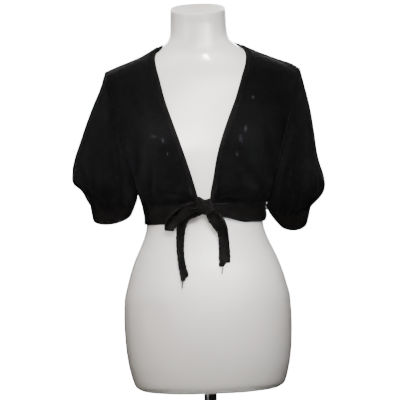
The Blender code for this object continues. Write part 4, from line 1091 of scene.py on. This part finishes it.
YARN_UNDER, LINK_PITCH = 0.0010, 0.0017
links = bpy.data.node_groups.new("links", "GeometryNodeTree")
for label, kind in (("Line", "Geometry"), ("Pitch", "Float"), ("Loop size", "Vector"),
                    ("Unevenness", "Float"), ("Yarn", "Material")):
    links.interface.new_socket(label, in_out="INPUT", socket_type="NodeSocket" + kind)
links.interface.new_socket("Seam", in_out="OUTPUT", socket_type="NodeSocketGeometry")
given = add_node(links, "NodeGroupInput").outputs
line = result(links, "GeometryNodeMeshToCurve", {"Mesh": given["Line"]})
line = {"Curve": line, "Length": given["Pitch"]}
line = result(links, "GeometryNodeResampleCurve", line, mode="LENGTH")
along = result(links, "GeometryNodeInputTangent")
turn = result(links, "FunctionNodeAlignRotationToVector", {"Vector": along}, axis="X")
loop = result(links, "GeometryNodeMeshUVSphere", {"Segments": 8, "Rings": 6, "Radius": 1.0})
loop = result(links, "GeometryNodeSetShadeSmooth", {"Geometry": loop})
chance = result(links, "FunctionNodeRandomValue", {2: -1.0, 3: 1.0, "Seed": 4}, 1)
spread = {0: chance, 1: given["Unevenness"], 2: 1.0}
spread = result(links, "ShaderNodeMath", spread, operation="MULTIPLY_ADD")
size = {0: given["Loop size"], "Scale": spread}
size = result(links, "ShaderNodeVectorMath", size, operation="SCALE")
placed = {"Points": line, "Instance": loop, "Rotation": turn, "Scale": size}
placed = result(links, "GeometryNodeInstanceOnPoints", placed)
placed = result(links, "GeometryNodeRealizeInstances", {"Geometry": placed})
placed = {"Geometry": placed, "Material": given["Yarn"]}
placed = result(links, "GeometryNodeSetMaterial", placed)
links.links.new(placed, add_node(links, "NodeGroupOutput").inputs["Seam"])


def grown(name, mesh, group, inputs):
    """What a Geometry Nodes group grows on a mesh, as a plain mesh object."""
    thing = add_object(name, mesh)
    modifier = thing.modifiers.new("grow", "NODES")
    modifier.node_group = group
    for item in group.interface.items_tree:
        if item.in_out == "INPUT" and item.name in inputs:
            modifier[item.identifier] = inputs[item.name]
    made = plain_mesh(thing, name)
    thing.modifiers.clear()
    thing.data = made
    made.materials.clear()
    made.materials.append(inputs["Yarn"])
    made.polygons.foreach_set("material_index", [0] * len(made.polygons))
    return thing


def linked(name, lines, material):
    """A row of linked loops along each line of points, under the surface by `YARN_UNDER`."""
    points, edges = [], []
    for places, normals in lines:
        places = places - YARN_UNDER * unit(normals)
        edges += [(k, k + 1) for k in range(len(points), len(points) + len(places) - 1)]
        points += [tuple(place) for place in places]
    mesh = bpy.data.meshes.new(name)
    mesh.from_pydata(points, edges, [])
    return grown(name, mesh, links, {
        "Pitch": LINK_PITCH, "Loop size": (0.0013, 0.0009, 0.0009), "Unevenness": 0.06,
        "Yarn": material,
    })


neck_line = [(seam, normals_of(neck_grid)[-1])]
hem_line = [(hem_grid[0, 12:-12], normals_of(hem_grid)[0, 12:-12])]
shoulder_lines, armhole_lines, side_lines, cuff_lines = [], [], [], []
for side in (RIGHT, LEFT):
    edge = top_edge(side)
    shoulder_lines.append((edge, side * np.cross(np.gradient(edge, axis=0), (0.0, 1.0, 0.0))))
    front, column_behind = front_grids[side], 0 if side == RIGHT else -1
    panel = (front[: ARMHOLE_ROWS + 1, 0], back_grid[ARMHOLE_ROWS - 1 :: -1, column_behind])
    facing = (
        side * normals_of(front)[: ARMHOLE_ROWS + 1, 0],
        normals_of(back_grid)[ARMHOLE_ROWS - 1 :: -1, column_behind],
    )
    sleeve = sleeve_grids[side]
    armhole_lines.append((
        (np.concatenate(panel) + sleeve[0]) / 2,
        np.concatenate(facing) + side * normals_of(sleeve, True)[0],
    ))
    below = front[ARMHOLE_ROWS:, 0]
    side_lines.append((below, np.broadcast_to((side, 0.0, 0.0), below.shape)))
    cuff_lines.append((sleeve[-1], side * normals_of(sleeve, True)[-1]))
seams = {
    "neck": linked("seam_neck", neck_line, ties_rib),
    "hem": linked("seam_hem", hem_line, black_rib),
    "shoulders": linked("seam_shoulders", shoulder_lines, black_knit),
    "armholes": linked("seam_armholes", armhole_lines, black_knit),
    "sides": linked("seam_sides", side_lines, black_knit),
    "cuffs": linked("seam_cuffs", cuff_lines, black_rib),
}

# ---- knot ----
# The two tie ends are knotted once over the middle of the hem band.  The turn of one
# strip crosses the knot from its upper left to its lower right.

KNOT_SIZE = (0.0310, 0.0240, 0.0290)
KNOT_AROUND, KNOT_RINGS = 72, 48
polar = math.pi * np.arange(1, KNOT_RINGS)[:, None] / KNOT_RINGS
turns = 2 * math.pi * np.arange(KNOT_AROUND)[None, :] / KNOT_AROUND
ball = np.stack(np.broadcast_arrays(
    np.sin(polar) * np.cos(turns), np.sin(polar) * np.sin(turns), -np.cos(polar)
), axis=-1)
ball = np.concatenate((ball.reshape(-1, 3), ((0.0, 0.0, -1.0), (0.0, 0.0, 1.0))))
x, y, z = ball.T
across = 0.80 * z + 0.60 * x
strip = np.exp(-((across / 0.42) ** 4))
turn = strip * (0.10 + 0.022 * np.cos(15.0 * across + 1.5 * x))
edge = -0.07 * np.exp(-(((np.abs(across) - 0.50) / 0.10) ** 2))
ears = 0.70 * np.exp(-((x + 0.50) ** 2 + (z - 0.82) ** 2) / 0.10)
ears = ears + 0.34 * np.exp(-((x - 0.50) ** 2 + (z - 0.82) ** 2) / 0.08)
full = 1 + (turn + edge) * np.clip(0.4 - y, 0.0, 1.0) + ears
vertices = np.array(KNOT_CENTRE) + ball * full[:, None] * np.array(KNOT_SIZE) / 2
faces = [face[1:] + face[:1] for face in ring_faces(KNOT_RINGS - 1, KNOT_AROUND)]
top, foot = len(ball) - 1, len(ball) - 2
for k in range(KNOT_AROUND):
    following, last = (k + 1) % KNOT_AROUND, (KNOT_RINGS - 2) * KNOT_AROUND
    faces += [(foot, following, k), (top, last + k, last + following)]
places = vertices[[k for face in faces for k in face]]
uvs = np.stack((places[:, 0] + places[:, 1] * 0.6, places[:, 2]), axis=1)
knot = new_object("knot_lump", vertices, faces, ties_rib, uvs)

# ---- tie ends ----
# Flat knitted strips whose long edges curl forward.  Two hang from the knot and one is
# folded into a half bow; each hanging end closes in two curled lobes and a loose yarn.

STRIP = 0.0016
TIE_TAIL_RIGHT = metres(
    # x, z, distance from the form, width
    (-4.7, 524.5, 20, 12), (-19, 522.5, 21, 19), (-32.5, 518.2, 19.6, 20.5),
    (-42.2, 507.5, 17.2, 19), (-46, 490, 12.5, 15), (-48.2, 472, 8.6, 14),
    (-49, 452, 7.2, 12.2), (-48, 433, 6.6, 11.2), (-45.8, 415, 6.4, 12.2),
    (-43.2, 403, 6.2, 13.4), (-42.4, 396, 6, 12.8),
)
TIE_TAIL_LEFT = metres(
    (9, 520, 19, 14), (20, 507, 20.6, 24), (28.4, 494.5, 17.6, 24), (33.2, 483, 12, 19.2),
    (35.1, 466, 8.2, 18), (35.6, 450, 7, 18.6), (35.4, 435, 6.5, 19.8), (35.2, 422.5, 6.2, 19),
)
TIE_LOOP = metres(
    (-7.7, 533, 22.2, 12), (-23, 530, 24.6, 19), (-40, 521.5, 24, 21.5),
    (-56, 509.8, 22.6, 22.2), (-65.8, 499.8, 20.8, 20.5), (-69.2, 488.8, 18.6, 17.8),
    (-66.4, 499.6, 16.8, 20), (-56, 510, 17.4, 21.2), (-40, 522, 19, 20),
    (-23.5, 530.5, 20.6, 16),
)
RIGHT_LOBES = (
    (-1.0, 0.0010), (-0.6, 0.0060), (-0.1, 0.0058), (0.2, 0.0), (0.7, -0.0016), (1.0, -0.0040),
)
LEFT_LOBES = (
    (-1.0, 0.0020), (-0.6, 0.0085), (-0.1, 0.0080), (0.25, 0.0), (0.7, 0.0012), (1.0, -0.0030),
)


def strip_grid(table, steps, curl, lobes):
    """A strip's face: rows run along it, columns across, its edges curled outwards.

    `lobes` is how far its end runs on at places from one edge (-1) to the other (1).
    """
    rows = np.array(table)
    lengths = run_lengths(rows[:, :3])
    stations = np.linspace(0.0, lengths[-1], steps + 1)
    x, z, off, width = (smooth_through(lengths, rows[:, k], stations) for k in range(4))
    centres = np.stack((x, form_side(x, z, -1) - off, z), axis=1)
    runs = unit(np.gradient(centres, axis=0))
    tilt = (form_side(x + 0.004, z, -1) - form_side(x - 0.004, z, -1)) / 0.008
    sides = unit(np.stack((-runs[:, 2], tilt * -runs[:, 2], runs[:, 0]), axis=1))
    outs = np.cross(sides, runs)
    outs *= np.sign(-outs[:, 1:2])
    grid = []
    for t in np.linspace(-1.0, 1.0, 25):
        beyond = max(abs(t) - 0.45, 0.0) / 0.55
        turn = beyond * math.radians(205.0)
        ragged = 0.0003 * np.sin(stations / 0.0013 + 5 * t) + 0.0003 * np.sin(stations / 0.0021 - t)
        flat_half = np.maximum(width / 2 - curl, 0.0) + ragged * (abs(t) > 0.3)
        across = math.copysign(1, t) * (
            flat_half * min(abs(t) / 0.45, 1.0) + curl * math.sin(turn)
        )
        out = curl * (1 - math.cos(turn))
        lobe = smooth_through(column(lobes, 0), column(lobes, 1), t)
        reach = (stations / stations[-1]) ** 10 * lobe
        point = centres + sides * across[:, None] + outs * out
        grid.append(point + runs * reach[:, None])
    return np.stack(grid, axis=1)


def yarn(name, table, radius, material):
    """A loose end of yarn as a thin tube through (x, z, distance from the form)."""
    points = [(x, form_side(x, z, -1) - off, z) for x, z, off in table]
    curve = bpy.data.curves.new(name, "CURVE")
    curve.dimensions, curve.bevel_depth, curve.bevel_resolution = "3D", radius, 2
    curve.use_fill_caps = True
    line = curve.splines.new("POLY")
    line.points.add(len(points) - 1)
    for point, place in zip(line.points, points):
        point.co = (*place, 1.0)
    made = add_object(name, curve)
    bpy.context.view_layer.update()
    mesh = plain_mesh(made, name)
    bpy.data.objects.remove(made)
    mesh.materials.clear()
    mesh.materials.append(material)
    return add_object(name, mesh)


ties = {}
for name, table, steps, curl, lobes in (
    ("tail_right_strip", TIE_TAIL_RIGHT, 110, 0.0017, RIGHT_LOBES),
    ("tail_left_strip", TIE_TAIL_LEFT, 90, 0.0018, LEFT_LOBES),
    ("loop_strip", TIE_LOOP, 110, 0.0012, ((-1.0, 0.0), (1.0, 0.0))),
):
    grid = strip_grid(table, steps, curl, lobes)
    facing = normals_of(grid)[steps // 2, 12, 1]
    ties[name] = wall(name, grid, -1 if facing > 0 else 1, STRIP, ties_rib)

yarns = {
    "tie_tail_right": yarn("yarn_right", metres(
        (-46.2, 392.5, 6.4), (-47, 388.5, 7), (-46.8, 385, 5.8),
        (-47.8, 381.5, 5.5), (-47.5, 378.5, 5.6), (-48.2, 375.5, 6),
    ), 0.0010, ties_rib),
    "tie_tail_left": yarn("yarn_left", metres(
        (32, 413, 6), (31, 409.5, 6.4), (30, 406.5, 6), (30.2, 403.5, 5.8), (29.2, 400.5, 5.8),
    ), 0.0010, ties_rib),
}

# ---- what each piece is ----

WITH = {
    # the rows of loops that go with each panel
    "back": ("shoulders", "sides"),
    "sleeve_right": ("armholes",),
    "hem_band": ("hem",),
    "neck_band": ("neck",),
    "cuff_right": ("cuffs",),
}
RECORD = (
    # piece, node, slot, flat width and length, flat area, how it is held, what it rests on
    (back, "back", "black_knit", (0.41, 0.34), 0.120, "draped", ("form_torso",)),
    (fronts[RIGHT], "front_right", "black_knit", (0.20, 0.34), 0.040, "draped", ("form_torso",)),
    (fronts[LEFT], "front_left", "black_knit", (0.20, 0.34), 0.042, "draped", ("form_torso",)),
    (sleeves[RIGHT], "sleeve_right", "black_knit", (0.52, 0.28), 0.062, "gathered",
     ("back_panel",)),
    (sleeves[LEFT], "sleeve_left", "black_knit", (0.52, 0.28), 0.060, "gathered",
     ("back_panel",)),
    (cuffs[RIGHT], "cuff_right", "black_rib", (0.28, 0.027), 0.0070, "hung",
     ("sleeve_right_knit",)),
    (cuffs[LEFT], "cuff_left", "black_rib", (0.26, 0.032), 0.0079, "hung",
     ("sleeve_left_knit",)),
    (hem, "hem_band", "black_rib", (0.68, 0.034), 0.0215, "stretched", ("form_torso",)),
    (neck_band, "neck_band", "black_rib", (0.95, 0.012), 0.0100, "stretched", ("form_torso",)),
    (ties["tail_right_strip"], "tie_tail_right", "black_rib", (0.034, 0.15), 0.0048, "hung",
     ("knot_lump",)),
    (ties["tail_left_strip"], "tie_tail_left", "black_rib", (0.040, 0.12), 0.0044, "hung",
     ("knot_lump",)),
    (ties["loop_strip"], "tie_loop", "black_rib", (0.034, 0.16), 0.0048, "folded", ("knot_lump",)),
)
for piece, node, slot, flat, area, held, rests_on in RECORD:
    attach(piece, "root")
    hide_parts(node)
    details = [seams[word] for word in WITH.get(node, ())] + [yarns[k] for k in yarns if k == node]
    for detail in details:
        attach(detail, "root")
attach(knot, "root")
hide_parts("tie_knot")

low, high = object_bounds()
rows = [list(cad_low), list(cad_high), list(low), list(high)]
